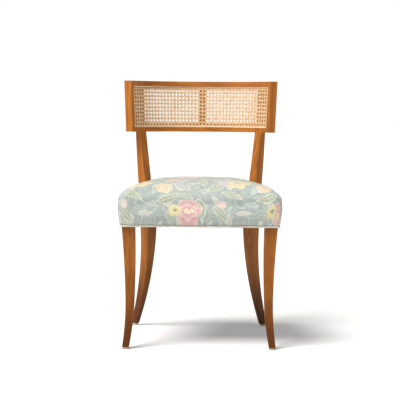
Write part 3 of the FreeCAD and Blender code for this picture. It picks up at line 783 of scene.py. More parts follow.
def floral(name, seat_props):
    """A generic flower print in soft colours on a woven cotton ground."""
    material, bench = new_material(name)
    uv = bench.add("ShaderNodeUVMap", uv_map="cloth")
    u, v, _ = bench.split(uv)
    drift = bench.noise(uv, 26.0, 2.0)
    drift_b = bench.noise(bench.vector(u + 3.7, v - 1.9, 0.0), 26.0, 2.0)
    at = (u + (drift - 0.5) * 0.012, v + (drift_b - 0.5) * 0.012)
    repeat = (seat_props.repeat_across, seat_props.repeat_along)
    cream, cream_deep = linear(240, 229, 196), linear(222, 204, 156)
    rose, rose_deep = linear(238, 208, 203), linear(222, 160, 156)
    blush, lilac = linear(226, 210, 206), linear(188, 186, 196)
    sage, sage_deep, pale = linear(180, 188, 166), linear(146, 160, 142), linear(226, 226, 210)
    cloudy = bench.noise(uv, 9.0, 3.0)
    ground = bench.mix(cloudy, solid(seat_props.ground), solid(seat_props.ground_deep))
    scroll = bench.noise(bench.vector(at[0] * 1.0, at[1] * 1.0, 0.0), 17.0, 1.0)
    contour = bench.size(bench.maths("FRACT", scroll * 9.0) - 0.5)
    colour = bench.mix(bench.rise(contour, 0.16, 0.05, 0.0, 0.75), ground, linear(206, 216, 208))
    wide = bench.size(bench.maths("FRACT", scroll * 4.5 + 0.3) - 0.5)
    colour = bench.mix(bench.rise(wide, 0.12, 0.07, 0.0, 0.6), colour, sage)
    green = (sage, sage_deep, pale)
    mist = (linear(186, 196, 192), linear(156, 174, 178), linear(230, 230, 218))
    cloud = (linear(206, 206, 190), linear(182, 184, 170), linear(238, 234, 218))
    leaves = [
        ((0.055, 0.030), 0.085, 0.030, 0.5, green), ((-0.060, 0.034), 0.080, 0.030, 2.5, mist),
        ((0.004, -0.070), 0.088, 0.034, -1.4, green), ((0.100, -0.016), 0.074, 0.028, -0.5, green),
        ((-0.100, -0.030), 0.080, 0.032, 3.5, green), ((0.080, 0.106), 0.078, 0.028, 1.2, mist),
        ((-0.070, 0.110), 0.080, 0.030, 2.0, green), ((0.010, 0.070), 0.070, 0.026, 1.5, green),
        ((0.140, 0.060), 0.070, 0.027, 2.8, mist), ((-0.036, -0.100), 0.070, 0.026, 0.7, mist),
        ((0.066, -0.084), 0.074, 0.028, -0.9, green), ((-0.140, 0.050), 0.066, 0.026, -1.0, green),
    ]
    half = (repeat[0] / 2, repeat[1] / 2)
    small = [
        ((0.020, 0.012), 0.052, 0.020, 0.9, mist), ((-0.040, -0.020), 0.050, 0.019, -0.6, green),
        ((0.052, -0.044), 0.054, 0.021, 2.2, cloud), ((-0.018, 0.052), 0.048, 0.018, 0.1, cloud),
        ((0.060, 0.040), 0.046, 0.018, -1.2, green), ((-0.064, 0.030), 0.050, 0.019, 1.7, cloud),
        ((0.004, -0.052), 0.044, 0.017, 2.9, mist),
    ]
    for group, spacing in ((small, half), (leaves, repeat)):
        for centre, length, width, turn, colours in group:
            mask, shade = leaf(bench, at, spacing, centre, length, width, turn, colours)
            colour = bench.mix(mask, colour, shade)
    flowers = [
        ((0.118, 0.058), 0.044, 7, 0.3, (cream, cream_deep, linear(176, 196, 206), linear(190, 176, 140))),
        ((-0.037, -0.077), 0.045, 6, 1.1, (rose, rose_deep, cream, linear(250, 238, 232))),
        ((-0.085, 0.100), 0.026, 6, 0.8, (linear(232, 206, 200), rose_deep, cream, pale)),
        ((-0.110, 0.020), 0.028, 6, 0.1, (cream, linear(226, 190, 160), rose, pale)),
        ((0.075, 0.056), 0.022, 5, 0.0, (blush, lilac, cream_deep, pale)),
        ((-0.078, -0.074), 0.024, 5, 0.9, (linear(236, 226, 180), linear(222, 206, 140), sage_deep, pale)),
        ((0.070, -0.052), 0.016, 5, 0.5, (rose, blush, cream, pale)),
        ((-0.055, 0.078), 0.017, 6, 0.2, (linear(206, 214, 222), lilac, cream, pale)),
    ]
    for centre, radius, petals, turn, colours in flowers:
        mask, shade = bloom(bench, at, repeat, centre, radius, petals, turn, colours)
        colour = bench.mix(mask, colour, shade)
    pitch = seat_props.thread_pitch
    warp = bench.sine(u * (2 * math.pi / pitch))
    weft = bench.sine(v * (2 * math.pi / pitch))
    slub = bench.noise(bench.vector(u * 90, v * 1400, 0.0), 1.0, 2.0)
    slub_b = bench.noise(bench.vector(u * 1400, v * 90, 0.0), 1.0, 2.0)
    lightened = bench.rise(slub + slub_b, 0.7, 1.3, 0.0, 0.16)
    colour = bench.mix(lightened, colour, linear(232, 234, 228))
    height = (warp * weft) * 0.4 + (slub + slub_b) * 0.6
    normal = bench.bump(height, 0.25, 0.0004)
    close_material(
        bench, Base_Color=colour, Roughness=slub * 0.12 + 0.78, Normal=normal,
        Sheen_Weight=0.25, Sheen_Roughness=0.5,
    )
    return material


def woven(name, light, dark, across, along, rough=0.85, depth=0.0006):
    """Plain woven cloth on object coordinates, with uneven threads."""
    material, bench = new_material(name)
    x, y, z = bench.split(bench.place())
    warp = bench.sine(x * (2 * math.pi / across))
    weft = bench.sine(y * (2 * math.pi / along))
    thread = bench.noise(bench.vector(x * 60, y * 900, z * 60), 1.0, 2.0)
    thread_b = bench.noise(bench.vector(x * 900, y * 60, z * 60), 1.0, 2.0)
    over = bench.rise(warp * weft, -0.6, 0.6)
    shade = over * 0.5 + (thread + thread_b) * 0.3
    colour = bench.mix(bench.rise(shade, 0.25, 0.8), dark, light)
    normal = bench.bump(over + thread * 0.5, 0.5, depth)
    close_material(bench, Base_Color=colour, Roughness=thread * 0.1 + rough, Normal=normal)
    return material


def wadding_material():
    material, bench = new_material("cotton_wadding")
    at = bench.place()
    tuft = bench.noise(at, 60.0, 4.0, 0.6, 0.4)
    fibre = bench.noise(at, 900.0, 2.0)
    colour = bench.mix(bench.rise(tuft, 0.3, 0.7), linear(226, 218, 200), linear(240, 236, 226))
    colour = bench.mix(bench.rise(fibre, 0.6, 0.75, 0.0, 0.3), colour, linear(190, 172, 140))
    normal = bench.bump(tuft + fibre * 0.3, 0.6, 0.002)
    close_material(bench, Base_Color=colour, Roughness=fibre * 0.08 + 0.9, Normal=normal)
    return material


def metal_material(name, bright, dull, rough):
    material, bench = new_material(name)
    at = bench.place()
    stain = bench.noise(at, 140.0, 3.0, 0.6)
    fine = bench.noise(at, 1600.0, 1.0)
    colour = bench.mix(bench.rise(stain, 0.35, 0.72), bright, dull)
    close_material(
        bench, Base_Color=colour, Metallic=bench.rise(stain, 0.5, 0.8, 1.0, 0.75),
        Roughness=stain * 0.25 + rough, Normal=bench.bump(fine, 0.15, 0.0001),
    )
    return material


def glide_material():
    """Off-white nylon with scuffs, and painted shade greying it where it meets the floor."""
    material, bench = new_material("glide_nylon")
    at = bench.place()
    x, y, z = bench.split(at)
    scuff = bench.noise(bench.vector(x * 300, y * 300, z * 900), 1.0, 3.0, 0.6)
    # Painted shade: the glide darkens near the floor it stands on.
    low = bench.rise(z, 0.0, 0.003, 0.55, 0.0)
    scuffs_and_floor_shade = bench.rise(scuff, 0.5, 0.8, 0.0, 0.35) + low
    colour = bench.mix(scuffs_and_floor_shade, linear(206, 176, 160), linear(128, 104, 88))
    normal = bench.bump(scuff, 0.2, 0.0003)
    close_material(bench, Base_Color=colour, Roughness=scuff * 0.25 + 0.4, Normal=normal)
    return material


# The seat

def swell_profile(share):
    return math.sin(math.pi / 2 * share)


def seat_form(name, material, shrink, seat_props):
    """The seat's closed form: upright sides that swell, then a dome."""
    base = seat_low.z
    belly = seat_props.belly_height
    loops = []
    for share in (0.0, 0.12, 0.25, 0.4, 0.55, 0.7, 0.85, 1.0):
        swell = (seat_props.side_swell - shrink) * swell_profile(share)
        loops.append((seat_loop(swell), base + (belly - base) * share))
    rise = seat_high.z - belly - seat_props.start_lower
    for degrees in (8, 16, 24, 33, 42, 51, 60, 68, 75, 81, 86):
        angle = math.radians(degrees)
        scale = math.cos(angle) ** (2 / seat_props.fullness)
        loops.append((seat_loop(seat_props.side_swell - shrink, scale), belly + rise * math.sin(angle)))
    return loft(loops, name, material)


def plump(piece, seat_props):
    """Cloth under pressure: the form swells against its hem, no further than the cap."""
    group = piece.vertex_groups.new(name="hem")
    hem = [v.index for v in piece.data.vertices if v.co.z < seat_low.z + 0.006]
    group.add(hem, 1.0, "REPLACE")
    before = read_vertices(piece.data, "co")
    cloth = piece.modifiers.new("plump", "CLOTH")
    settings = cloth.settings
    settings.quality = 5
    settings.mass = 0.3
    settings.tension_stiffness = 12
    settings.compression_stiffness = 12
    settings.shear_stiffness = 8
    settings.bending_stiffness = 3
    settings.use_pressure = True
    settings.uniform_pressure_force = seat_props.pressure
    settings.vertex_group_mass = "hem"
    settings.effector_weights.gravity = 0
    cloth.collision_settings.use_collision = False
    scene = bpy.context.scene
    for number in range(1, 21):
        scene.frame_set(number)
    plain_mesh(piece)
    scene.frame_set(1)
    move = read_vertices(piece.data, "co") - before
    length = np.linalg.norm(move, axis=1, keepdims=True)
    move *= np.minimum(1.0, seat_props.most_swell / np.maximum(length, 1e-9))
    write_places(piece.data, before + move)


def cloth_map(piece, seat_props):
    """Lays the cloth over the seat: flat on top and pulled straight down over the edges."""
    mesh = piece.data
    co, normal = read_vertices(mesh, "co"), read_vertices(mesh, "normal")
    flat = normal[:, :2] / np.maximum(np.linalg.norm(normal[:, :2], axis=1, keepdims=True), 1e-6)
    angle = np.radians(np.linspace(90, 0, 91))
    reach = 0.24 * np.cos(angle).clip(0, 1) ** (2 / seat_props.fullness)
    height = seat_props.belly_height + (seat_high.z - seat_props.belly_height) * np.sin(angle)
    step = np.hypot(np.diff(reach), np.diff(height)) - np.diff(reach)
    extra = np.concatenate(([0.0], np.cumsum(step)))
    drop = np.interp(-co[:, 2], -height, extra)
    drop += np.clip(seat_props.belly_height - co[:, 2], 0, 1)
    place = co[:, :2] + drop[:, None] * flat
    layer = mesh.uv_layers.get("cloth") or mesh.uv_layers.new(name="cloth")
    loops = np.empty(len(mesh.loops), dtype=np.int32)
    mesh.loops.foreach_get("vertex_index", loops)
    layer.data.foreach_set("uv", place[loops].ravel())


def seam_lines(piece, seat_props):
    """Presses the sewn seams at the front corners and lays a faint ripple over the cover."""
    mesh = piece.data
    co, normal = read_vertices(mesh, "co"), read_vertices(mesh, "normal")
    corner_x, corner_y = seat_corners(seat_props.side_swell)[0]
    across = (np.abs(co[:, 0]) - (corner_x - 0.012)) * 0.7071
    along = (co[:, 1] - frame_line - (corner_y + 0.012)) * 0.7071
    seam = across + along
    near = np.exp(-(seam / 0.0016) ** 2)
    ridge = np.exp(-((np.abs(seam) - 0.0042) / 0.0026) ** 2)
    front = (co[:, 1] < frame_line + 0.05) & (np.abs(co[:, 0]) > corner_x - 0.07)
    fade = np.clip((seat_props.belly_height + 0.022 - co[:, 2]) / 0.03, 0, 1)
    depth = (near * -0.0016 + ridge * 0.0006) * fade * front
    co += normal * depth[:, None]
    wave = 0.0005 * np.sin(co[:, 0] * 61 + co[:, 1] * 23) * np.sin(co[:, 1] * 47 - co[:, 0] * 19 + 1.0)
    co += normal * (wave * np.clip((co[:, 2] - seat_low.z) / 0.03, 0, 1))[:, None]
    write_places(mesh, co)


def open_below(piece, height):
    """Takes the flat underside off a closed form, so that what is left can be a skin."""
    bm = bmesh.new()
    bm.from_mesh(piece.data)
    geometry = bm.verts[:] + bm.edges[:] + bm.faces[:]
    bmesh.ops.bisect_plane(
        bm, geom=geometry, dist=0.00001, plane_co=(0, 0, height), plane_no=(0, 0, 1), clear_inner=True,
    )
    bm.to_mesh(piece.data)
    bm.free()


# Property groups

def colour_field(name, text, colour):
    return bpy.props.FloatVectorProperty(
        name=name, description=text, default=colour[:3], size=3, subtype="COLOR",
    )


def number_field(name, text, value, **settings):
    return bpy.props.FloatProperty(name=name, description=text, default=value, **settings)


def share_field(name, text, value):
    return number_field(name, text, value, min=0, max=1, subtype="FACTOR")


def length_field(name, text, value, digits=4):
    return number_field(name, text, value, unit="LENGTH", precision=digits)


class KlismosWood(bpy.types.PropertyGroup):
    dark: colour_field("Dark", "Colour of pores and shaded grain", linear(78, 38, 12))
    middle: colour_field("Middle", "Main colour of the lacquered wood", linear(146, 84, 32))
    light: colour_field("Light", "Colour of the bright growth bands", linear(184, 116, 46))
    raw_dark: colour_field("Frame Dark", "Dark grain of the unfinished frame wood", linear(150, 116, 80))
    raw_middle: colour_field("Frame Middle", "Main colour of the frame wood", linear(202, 170, 128))
    raw_light: colour_field("Frame Light", "Light grain of the unfinished frame wood", linear(220, 192, 152))
    pore_strength: share_field("Pores", "How dark the pores are", 0.5)
    upper_gain: number_field("Upper Gain", "How much lighter the back and the upper posts are", 1.35)
    # Strength of the painted shade that darkens the legs towards the floor.
    foot_shade: share_field("Foot Shade", "How much the legs darken to the floor", 0.85)


class KlismosCane(bpy.types.PropertyGroup):
    light: colour_field("Light", "Lightest strands", linear(252, 226, 188))
    deep: colour_field("Deep", "Darkest strands", linear(238, 190, 136))
    pitch_across: length_field("Pitch Across", "From hole to hole round the back", 0.01194)
    pitch_up: length_field("Pitch Up", "From hole to hole up the back", 0.01274)
    pair_gap: length_field("Pair Gap", "Between the centre lines of a pair of strands", 0.0027)
    strand_width: length_field("Strand Width", "Width of one strand", 0.0020)
    strand_thickness: length_field("Strand Thickness", "Thickness of one strand", 0.00045, 5)
    weave: number_field("Weave", "How far strands rise and fall, in strand thicknesses", 0.6)
    half_width: length_field("Half Width", "Half the cane's width round the back", 0.2607)
    tuck: length_field("Tuck", "How far the cane's edge lies inside the sight opening", 0.003)
    column_shift: length_field("Column Shift", "Where a column of holes lies in front", 0.0)
    row_place: length_field("Row Height", "Height of the lowest row of holes in front", 0.6910)
    rear_column_shift: length_field("Rear Column Shift", "Where a column of holes lies behind", 0.0)
    rear_row_place: length_field("Rear Row Height", "Height of the lowest row of holes behind", 0.6909)


class KlismosSeat(bpy.types.PropertyGroup):
    side_swell: length_field("Side Swell", "How far the sides swell above the hem", 0.006)
    belly_height: length_field("Belly Height", "Height where the sides are fullest", 0.466)
    fullness: number_field("Fullness", "2 is an ellipse, more is fuller at the edges", 2.6)
    pressure: number_field("Pressure", "Pressure of the padding under the cover", 4.0)
    most_swell: length_field("Most Swell", "Furthest that the padding pushes the cover", 0.007)
    start_smaller: length_field("Start Smaller", "How much narrower the form starts", -0.003)
    start_lower: length_field("Start Lower", "How much lower the form's crown starts", 0.010)
    voxel: length_field("Voxel", "Size of the remesh", 0.005)
    ground: colour_field("Ground", "Pale ground of the cloth", linear(186, 194, 188))
    ground_deep: colour_field("Deep Ground", "Deeper ground of the cloth", linear(146, 164, 164))
    repeat_across: length_field("Repeat Across", "Width of the print's repeat", 0.31, 2)
    repeat_along: length_field("Repeat Along", "Length of the print's repeat", 0.27, 2)
    thread_pitch: length_field("Thread Pitch", "From thread to thread in the cloth", 0.0009, 5)


class KlismosStage(bpy.types.PropertyGroup):
    lens: number_field("Lens", "Focal length", 130.6, unit="CAMERA")
    distance: length_field("Distance", "Camera in front of the chair's middle", 4.775, 2)
    height: length_field("Height", "Camera above the floor", 0.747, 2)
    tilt: number_field("Tilt", "Camera's tilt down", math.radians(3.63), subtype="ANGLE")
    roll: number_field("Roll", "Camera's roll", math.radians(0.44), subtype="ANGLE")
    turn: number_field("Turn", "Camera's turn sideways", 0.0, subtype="ANGLE")
    key: number_field("Key", "Strength of the key light", 3.1)
    key_width: number_field("Key Width", "Softness of the key light", math.radians(30), subtype="ANGLE")
    fill: number_field("Fill", "Strength of the light all round", 0.31)
    floor_lift: number_field("Floor Lift", "What the camera sees the floor brighter by", 0.12)


class KlismosChair(bpy.types.PropertyGroup):
    wood: bpy.props.PointerProperty(type=KlismosWood)
    cane: bpy.props.PointerProperty(type=KlismosCane)
    seat: bpy.props.PointerProperty(type=KlismosSeat)
    stage: bpy.props.PointerProperty(type=KlismosStage)


# Operators

class KLISMOS_OT_show_wood(bpy.types.Operator):
    """Finish the legs, posts and back in lacquered fruitwood, grain along each piece"""

    bl_idname = "klismos.show_wood"
    bl_label = "Show-Wood"

    def execute(self, context):
        props = context.scene.klismos.wood
        back = {"floor_shaded": False, "lightened": True}
        for number, (side, sign) in enumerate((("right", 1), ("left", -1))):
            leg = wood("front_leg_wood_" + side, along_leg, props, 0.4 + number)
            paint(leg, "front_leg_" + side)
            post = wood("rear_post_wood_" + side, along_post(sign), props, 1.3 + number * 0.7, lightened=True)
            paint(post, "rear_post_" + side)
            stile = wood("stile_wood_" + side, up_back, props, 2.1 + number, **back)
            paint(stile, "back_stile_" + side)
        paint(wood("top_rail_wood", along_back, props, 0.2, **back), "back_top_rail")
        paint(wood("bottom_rail_wood", along_back, props, 0.9, **back), "back_bottom_rail")
        paint(wood("muntin_wood", up_back, props, 3.4, floor_shaded=False), "back_centre_muntin")
        return {"FINISHED"}


class KLISMOS_OT_frame_wood(bpy.types.Operator):
    """Leave the seat rails, corner blocks and dowels in bare frame wood"""

    bl_idname = "klismos.frame_wood"
    bl_label = "Frame Wood"

    def execute(self, context):
        props = context.scene.klismos.wood
        side_rails = ("side_seat_rail_right", "side_seat_rail_left")
        blocks = ["corner_block_" + corner for corner in corners]
        for name, grain, offset, pieces in (
            ("cross_rail_wood", along_x, 0.3, ("front_seat_rail", "rear_seat_rail")),
            ("side_rail_wood", along_y, 1.2, side_rails),
            ("corner_block_wood", along_x, 2.2, blocks),
            ("dowel_wood", along_x, 3.1, ("rail_dowels", "back_dowels")),
        ):
            paint(wood(name, grain, props, offset, floor_shaded=False, raw=True), *pieces)
        return {"FINISHED"}


class KLISMOS_OT_metalwork(bpy.types.Operator):
    """Finish the springs, screws, tacks, nails and glides"""

    bl_idname = "klismos.metalwork"
    bl_label = "Metalwork and Glides"

    def execute(self, context):
        steel = metal_material("spring_steel", linear(150, 148, 142), linear(96, 84, 72), 0.35)
        dark = metal_material("blued_steel", linear(86, 88, 96), linear(52, 50, 50), 0.38)
        brass = metal_material("screw_brass", linear(206, 170, 100), linear(140, 106, 56), 0.3)
        paint(steel, "seat_springs")
        paint(dark, "corner_block_screws", "dust_cover_tacks", "glide_nails")
        paint(brass, "post_screws")
        paint(glide_material(), *["glide_" + corner for corner in corners])
        return {"FINISHED"}


class KLISMOS_OT_cane(bpy.types.Operator):
    """Weave the two cane panels and press in the splines round them"""

    bl_idname = "klismos.cane"
    bl_label = "Cane Back"

    def execute(self, context):
        props = context.scene.klismos.cane
        material = cane_material("cane_strand", props)
        for face, place, depth in ((1, "front", cane_depth), (-1, "rear", back_thickness - cane_depth)):
            panel = cane_panel("cane_work_" + place, face, depth, props, material)
            stand(panel, "cane", "cane_panel_" + place)
        reed = cane_material("spline_reed", props, "none")
        for face, place, depth in ((1, "front", spline_depth), (-1, "rear", back_thickness - spline_depth)):
            strip = cane_spline("reed_spline_" + place, face, depth, reed)
            stand(strip, "spline", "cane_spline_" + place)
        return {"FINISHED"}


class KLISMOS_OT_seat(bpy.types.Operator):
    """Plump the seat by cloth simulation, cover it and pad it"""

    bl_idname = "klismos.seat"
    bl_label = "Upholstered Seat"

    def execute(self, context):
        props = context.scene.klismos.seat
        cloth = floral("printed_cotton", props)
        cover = seat_form("seat_cloth", cloth, props.start_smaller, props)
        cover.data.remesh_voxel_size = props.voxel
        reshape(cover, "REMESH", mode="VOXEL", voxel_size=props.voxel)
        plump(cover, props)
        reshape(cover, "SUBSURF", levels=1, render_levels=1)
        seam_lines(cover, props)
        padding = bpy.data.objects.new("seat_stuffing", cover.data.copy())
        context.scene.collection.objects.link(padding)
        open_below(cover, seat_low.z)
        reshape(cover, "SOLIDIFY", thickness=0.0016, offset=-1)
        cut(cover, post_tools())
        one_material(cover, cloth)
        smooth(cover)
        cloth_map(cover, props)
        stand(cover, "cover_fabric", "seat_cover")
        self.pad(padding)
        return {"FINISHED"}

    def pad(self, padding):
        """The stuffing: the seat's form less the cover, the wooden frame and the sprung middle."""
        bm = bmesh.new()
        bm.from_mesh(padding.data)
        bmesh.ops.triangulate(bm, faces=bm.faces)
        bm.normal_update()
        for vert in bm.verts:
            vert.co -= vert.normal * 0.0022
        bmesh.ops.dissolve_degenerate(bm, dist=0.00005, edges=bm.edges)
        bm.to_mesh(padding.data)
        bm.free()
        reshape(padding, "DECIMATE", ratio=0.2)
        frame_plan = seat_loop(frame_swell)
        levels = [(frame_plan, seat_low.z - 0.03), (frame_plan, rail_top + 0.0004)]
        core = loft(levels, "cutter_core", None)
        levels = [
            (seat_loop(frame_swell, 1 - 0.010 / seat_reach), rail_top - 0.004),
            (seat_loop(frame_swell, 1 - 0.055 / seat_reach), hessian_high.z + 0.0008),
        ]
        dome = loft(levels, "cutter_dome", None)
        cut(padding, [core, dome] + post_tools())
        one_material(padding, wadding_material())
        smooth(padding)
        stand(padding, "padding", "seat_padding")


class KLISMOS_OT_welt(bpy.types.Operator):
    """Run the piped welt round the seat's lower edge"""

    bl_idname = "klismos.welt"
    bl_label = "Welt"

    def execute(self, context):
        material = welt_material()
        tree, bench, size = tree_with_inputs("welt_path", ["Radius", "Step"])
        height = (welt_low.z + welt_high.z) / 2
        points = [(p.x, p.y, height) for p in seat_loop(-0.001, 1.0, 40, 10)]
        piece = closed_wire("piped_welt", points, material)
        curve = bench.add("GeometryNodeMeshToCurve", {"Mesh": size["Geometry"]})
        curve = bench.resample(curve, size["Step"])
        profile = bench.round_profile(14, size["Radius"])
        swept = bench.add("GeometryNodeCurveToMesh", {"Curve": curve, "Profile Curve": profile})
        radius = (welt_high.z - welt_low.z) / 2
        run_tree(piece, tree, bench, swept, material, {"Radius": radius, "Step": 0.003})
        cut(piece, post_tools())
        smooth(piece)
        stand(piece, "welt_fabric", "seat_welt")
        return {"FINISHED"}


def welt_material():
    """The same cotton cut on the bias round a cord: pale, with slanting threads."""
    material, bench = new_material("welt_cotton")
    at = bench.place()
    x, y, z = bench.split(at)
    patch = bench.noise(at, 24.0, 2.0)
    tint = bench.noise(bench.vector(x + 2.0, y, z), 15.0, 1.0)
    colour = bench.mix(bench.rise(patch, 0.4, 0.6), linear(228, 226, 214), linear(204, 212, 208))
    colour = bench.mix(bench.rise(tint, 0.58, 0.7, 0.0, 0.7), colour, linear(228, 190, 184))
    colour = bench.mix(bench.rise(tint, 0.42, 0.3, 0.0, 0.7), colour, linear(164, 184, 188))
    slant = bench.sine((x + y + z) * (2 * math.pi / 0.0011))
    low = bench.rise(z, welt_low.z + 0.0004, welt_low.z + 0.0018, 0.8, 0.0)
    colour = bench.mix(low, colour, linear(196, 160, 118))
    close_material(
        bench, Base_Color=colour, Roughness=patch * 0.1 + 0.8, Normal=bench.bump(slant, 0.3, 0.0003),
        Sheen_Weight=0.2,
    )
    return material


class KLISMOS_OT_springing(bpy.types.Operator):
    """Stretch the webbing and the hessian"""

    bl_idname = "klismos.springing"
    bl_label = "Webbing and Hessian"

    def execute(self, context):
        jute = woven("jute_webbing", linear(206, 178, 132), linear(150, 116, 76), 0.0026, 0.0026)
        sack = woven("hessian", linear(196, 166, 118), linear(132, 100, 62), 0.0022, 0.0022)
        self.straps(jute)
        self.hessian(sack)
        return {"FINISHED"}

    def straps(self, material):
        middle = (strap_low.z + cross_high.z) / 2
        long_places = [0.05468 * i for i in range(-2, 3)]
        cross_places = [frame_line + 0.0735 + 0.071 * i for i in range(5)]
        width, thick, lift = 0.050, 0.0011, 0.0008
        strap_section = ((-1, 0.0003), (-0.94, 0), (-0.4, 0), (0.4, 0), (0.94, 0), (1, 0.0003))

        def strap(bm, spots):
            top, low = [], []
            for centre, side, height in spots:
                edge = [(centre + side * (share * width / 2), dip) for share, dip in strap_section]
                top.append([(p.x, p.y, height + thick / 2 - dip) for p, dip in edge])
                low.append([(p.x, p.y, height - thick / 2 + dip) for p, dip in edge])
            slab(bm, top, low)

        def wave(at, places, flip):
            total = 0.0
            for k, place in enumerate(places):
                near = max(0.0, 1 - (abs(at - place) / 0.036) ** 2)
                total += near * (1 if (k + flip) % 2 else -1)
            return total

        bm = bmesh.new()
        for number, x in enumerate(long_places):
            spots = []
            for i in range(61):
                y = strap_low.y + (strap_high.y - strap_low.y) * i / 60
                spots.append((Vector((x, y)), Vector((1, 0)), middle + lift * wave(y, cross_places, number)))
            strap(bm, spots)
        bmesh.ops.recalc_face_normals(bm, faces=bm.faces)
        lengthways = new_piece("jute_straps_lengthways", bm, material)
        stand(lengthways, "jute", "webbing_front_to_back")
        bm = bmesh.new()
        area = 0.0
        for number, y in enumerate(cross_places):
            half = 0.2405 - 0.1266 * (y - frame_line - 0.038 + 0.025)
            spots = []
            for i in range(61):
                x = -half + 2 * half * i / 60
                flip = wave(x, long_places, number + 1)
                spots.append((Vector((x, y)), Vector((0, 1)), middle + lift * flip))
            strap(bm, spots)
            area += 2 * half * width
        bmesh.ops.recalc_face_normals(bm, faces=bm.faces)
        crossways = new_piece("jute_straps_crossways", bm, material)
        stand(crossways, "jute", "webbing_side_to_side")
        area / (5 * width)

    def hessian(self, material):
        size = seat_reach
        rim = hessian_low.z + 0.0003
        crown = hessian_high.z - 0.0001
        levels = [
            (1 - 0.008 / size, rim), (1 - 0.012 / size, rim + 0.0004), (1 - 0.030 / size, (rim + crown) / 2),
            (1 - 0.050 / size, crown - 0.0012), (1 - 0.060 / size, crown), (0.56, crown - 0.0006),
            (0.42, crown - 0.001), (0.28, crown - 0.0004), (0.14, crown), (0.05, crown),
        ]
        piece = loft([(seat_loop(frame_swell, scale), z) for scale, z in levels], "hessian_sheet", material)
        bm = bmesh.new()
        bm.from_mesh(piece.data)
        under = [f for f in bm.faces if f.normal.z < -0.9]
        bmesh.ops.delete(bm, geom=under, context="FACES")
        cap = [f for f in bm.faces if len(f.verts) > 8]
        bmesh.ops.poke(bm, faces=cap)
        bm.to_mesh(piece.data)
        bm.free()
        reshape(piece, "SOLIDIFY", thickness=0.0009, offset=-1)
        cut(piece, post_tools())
        smooth(piece)
        stand(piece, "jute", "spring_hessian")


class KLISMOS_OT_dust_cover(bpy.types.Operator):
    """Tack the thin dust cover under the seat"""

    bl_idname = "klismos.dust_cover"
    bl_label = "Dust Cover"

    def execute(self, context):
        material = woven("cambric", linear(74, 74, 78), linear(40, 40, 44), 0.0012, 0.0012, 0.88, 0.0003)
        low, high = dust_low, dust_high
        thick = 0.0006
        steps = 96
        grids = []
        for level in (0.0, thick):
            rows = []
            for i in range(steps + 1):
                y = low.y - 0.004 + (high.y - low.y + 0.008) * i / steps
                slack = max(0.0, 1 - ((y - (low.y + high.y) / 2) / 0.2) ** 2)
                row = []
                for j in range(steps + 1):
                    x = low.x - 0.004 + (high.x - low.x + 0.008) * j / steps
                    inside = max(0.0, (1 - (x / 0.2) ** 2)) * slack
                    sag = -0.0022 * inside
                    ripple = 0.0004 * math.sin(x * 95 + 2 * math.sin(y * 30)) * inside
                    row.append((x, y, low.z + 0.0001 + level + sag + ripple))
                rows.append(row)
            grids.append(rows)
        bm = bmesh.new()
        slab(bm, *grids)
        bmesh.ops.recalc_face_normals(bm, faces=bm.faces)
        piece = new_piece("cambric_sheet", bm, material)
        plan = [(0.2405, 0.003), (0.2405, 0.038), (0.1907, 0.4158), (0.1609, 0.4494)]
        plan += [(-x, y) for x, y in reversed(plan)]
        ring = [Vector((x, y + frame_line)) for x, y in plan]
        outline = loft([(ring, low.z - 0.02), (ring, high.z + 0.02)], "cutter_plan", None)
        cut(piece, [outline], "INTERSECT")
        tools = ["rear_post_right", "rear_post_left", "front_leg_right", "front_leg_left"]
        cut(piece, [node_copy(name, 0.0006) for name in tools])
        smooth(piece)
        stand(piece, "dust_cloth", "dust_cover")
        return {"FINISHED"}


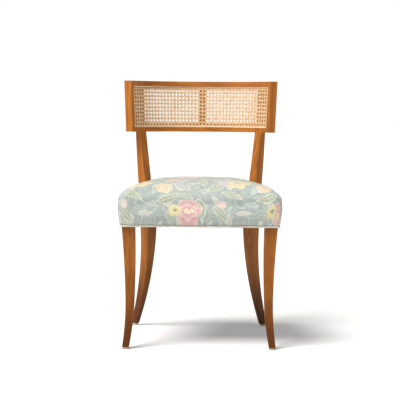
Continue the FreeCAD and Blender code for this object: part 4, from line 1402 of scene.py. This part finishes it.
class KLISMOS_OT_stage(bpy.types.Operator):
    """Set the pale floor, the soft lights and the camera"""

    bl_idname = "klismos.stage"
    bl_label = "Stage"

    def execute(self, context):
        props = context.scene.klismos.stage
        scene = context.scene
        scene.view_settings.view_transform = "Standard"
        camera = bpy.data.objects.new("camera", bpy.data.cameras.new("camera"))
        scene.collection.objects.link(camera)
        camera.data.lens = props.lens
        camera.data.sensor_width = 36.0
        camera.data.clip_end = 100.0
        look = Matrix.Rotation(props.turn, 4, "Z") @ Matrix.Rotation(math.pi / 2 - props.tilt, 4, "X")
        look = look @ Matrix.Rotation(props.roll, 4, "Z")
        camera.matrix_world = Matrix.Translation((0, -props.distance, props.height)) @ look
        scene.camera = camera
        bm = bmesh.new()
        bmesh.ops.create_circle(bm, cap_ends=True, segments=64, radius=40.0)
        floor = new_piece("floor", bm, self.floor_material(props))
        self.world(scene, props)
        key = bpy.data.lights.new("key", "SUN")
        key.energy = props.key
        key.angle = props.key_width
        key.color = (1.0, 0.975, 0.94)
        lamp = bpy.data.objects.new("key", key)
        scene.collection.objects.link(lamp)
        lamp.matrix_world = Vector((-0.7, -0.5, 1.5)).to_track_quat("Z", "Y").to_matrix().to_4x4()
        return {"FINISHED"}

    def floor_material(self, props):
        """Plain white paper, which the camera sees a little lifted; it keeps the shadow."""
        material, bench = new_material("floor_paper")
        at = bench.place()
        tooth = bench.noise(at, 400.0, 2.0)
        colour = bench.mix(tooth, linear(250, 250, 250), linear(247, 247, 247))
        values = {"Base Color": colour, "Roughness": 0.9, "Specular IOR Level": 0.1}
        shader = bench.add("ShaderNodeBsdfPrincipled", values)
        lift = bench.seen() * props.floor_lift
        glow = bench.add("ShaderNodeEmission", {"Color": (1, 1, 1, 1), "Strength": lift})
        both = bench.add("ShaderNodeAddShader", {0: shader, 1: glow})
        bench.close("ShaderNodeOutputMaterial", "Surface", both)
        return material

    def world(self, scene, props):
        world = bpy.data.worlds.new("studio")
        world.use_nodes = True
        world.node_tree.nodes.clear()
        bench = Bench(world.node_tree)
        strength = bench.seen() * (1.0 - props.fill) + props.fill
        glow = bench.add("ShaderNodeBackground", {"Color": (1, 1, 1, 1), "Strength": strength})
        bench.close("ShaderNodeOutputWorld", "Surface", glow)
        scene.world = world


class KLISMOS_PT_panel(bpy.types.Panel):
    bl_idname = "KLISMOS_PT_panel"
    bl_label = "Klismos Chair"
    bl_space_type = "VIEW_3D"
    bl_region_type = "UI"
    bl_category = "Klismos Chair"

    def draw(self, context):
        for operator in operators:
            self.layout.operator(operator.bl_idname)


operators = [
    KLISMOS_OT_stage,
    KLISMOS_OT_show_wood,
    KLISMOS_OT_frame_wood,
    KLISMOS_OT_metalwork,
    KLISMOS_OT_cane,
    KLISMOS_OT_seat,
    KLISMOS_OT_welt,
    KLISMOS_OT_springing,
    KLISMOS_OT_dust_cover,
]
classes = [KlismosWood, KlismosCane, KlismosSeat, KlismosStage, KlismosChair] + operators + [KLISMOS_PT_panel]


def register():
    for one in classes:
        bpy.utils.register_class(one)
    bpy.types.Scene.klismos = bpy.props.PointerProperty(type=KlismosChair)


def unregister():
    del bpy.types.Scene.klismos
    for one in reversed(classes):
        bpy.utils.unregister_class(one)


def main():
    register()
    bpy.ops.klismos.stage()
    bpy.ops.klismos.show_wood()
    bpy.ops.klismos.frame_wood()
    bpy.ops.klismos.metalwork()
    bpy.ops.klismos.cane()
    bpy.ops.klismos.seat()
    bpy.ops.klismos.welt()
    bpy.ops.klismos.springing()
    bpy.ops.klismos.dust_cover()


if __name__ == "__main__":
    main()
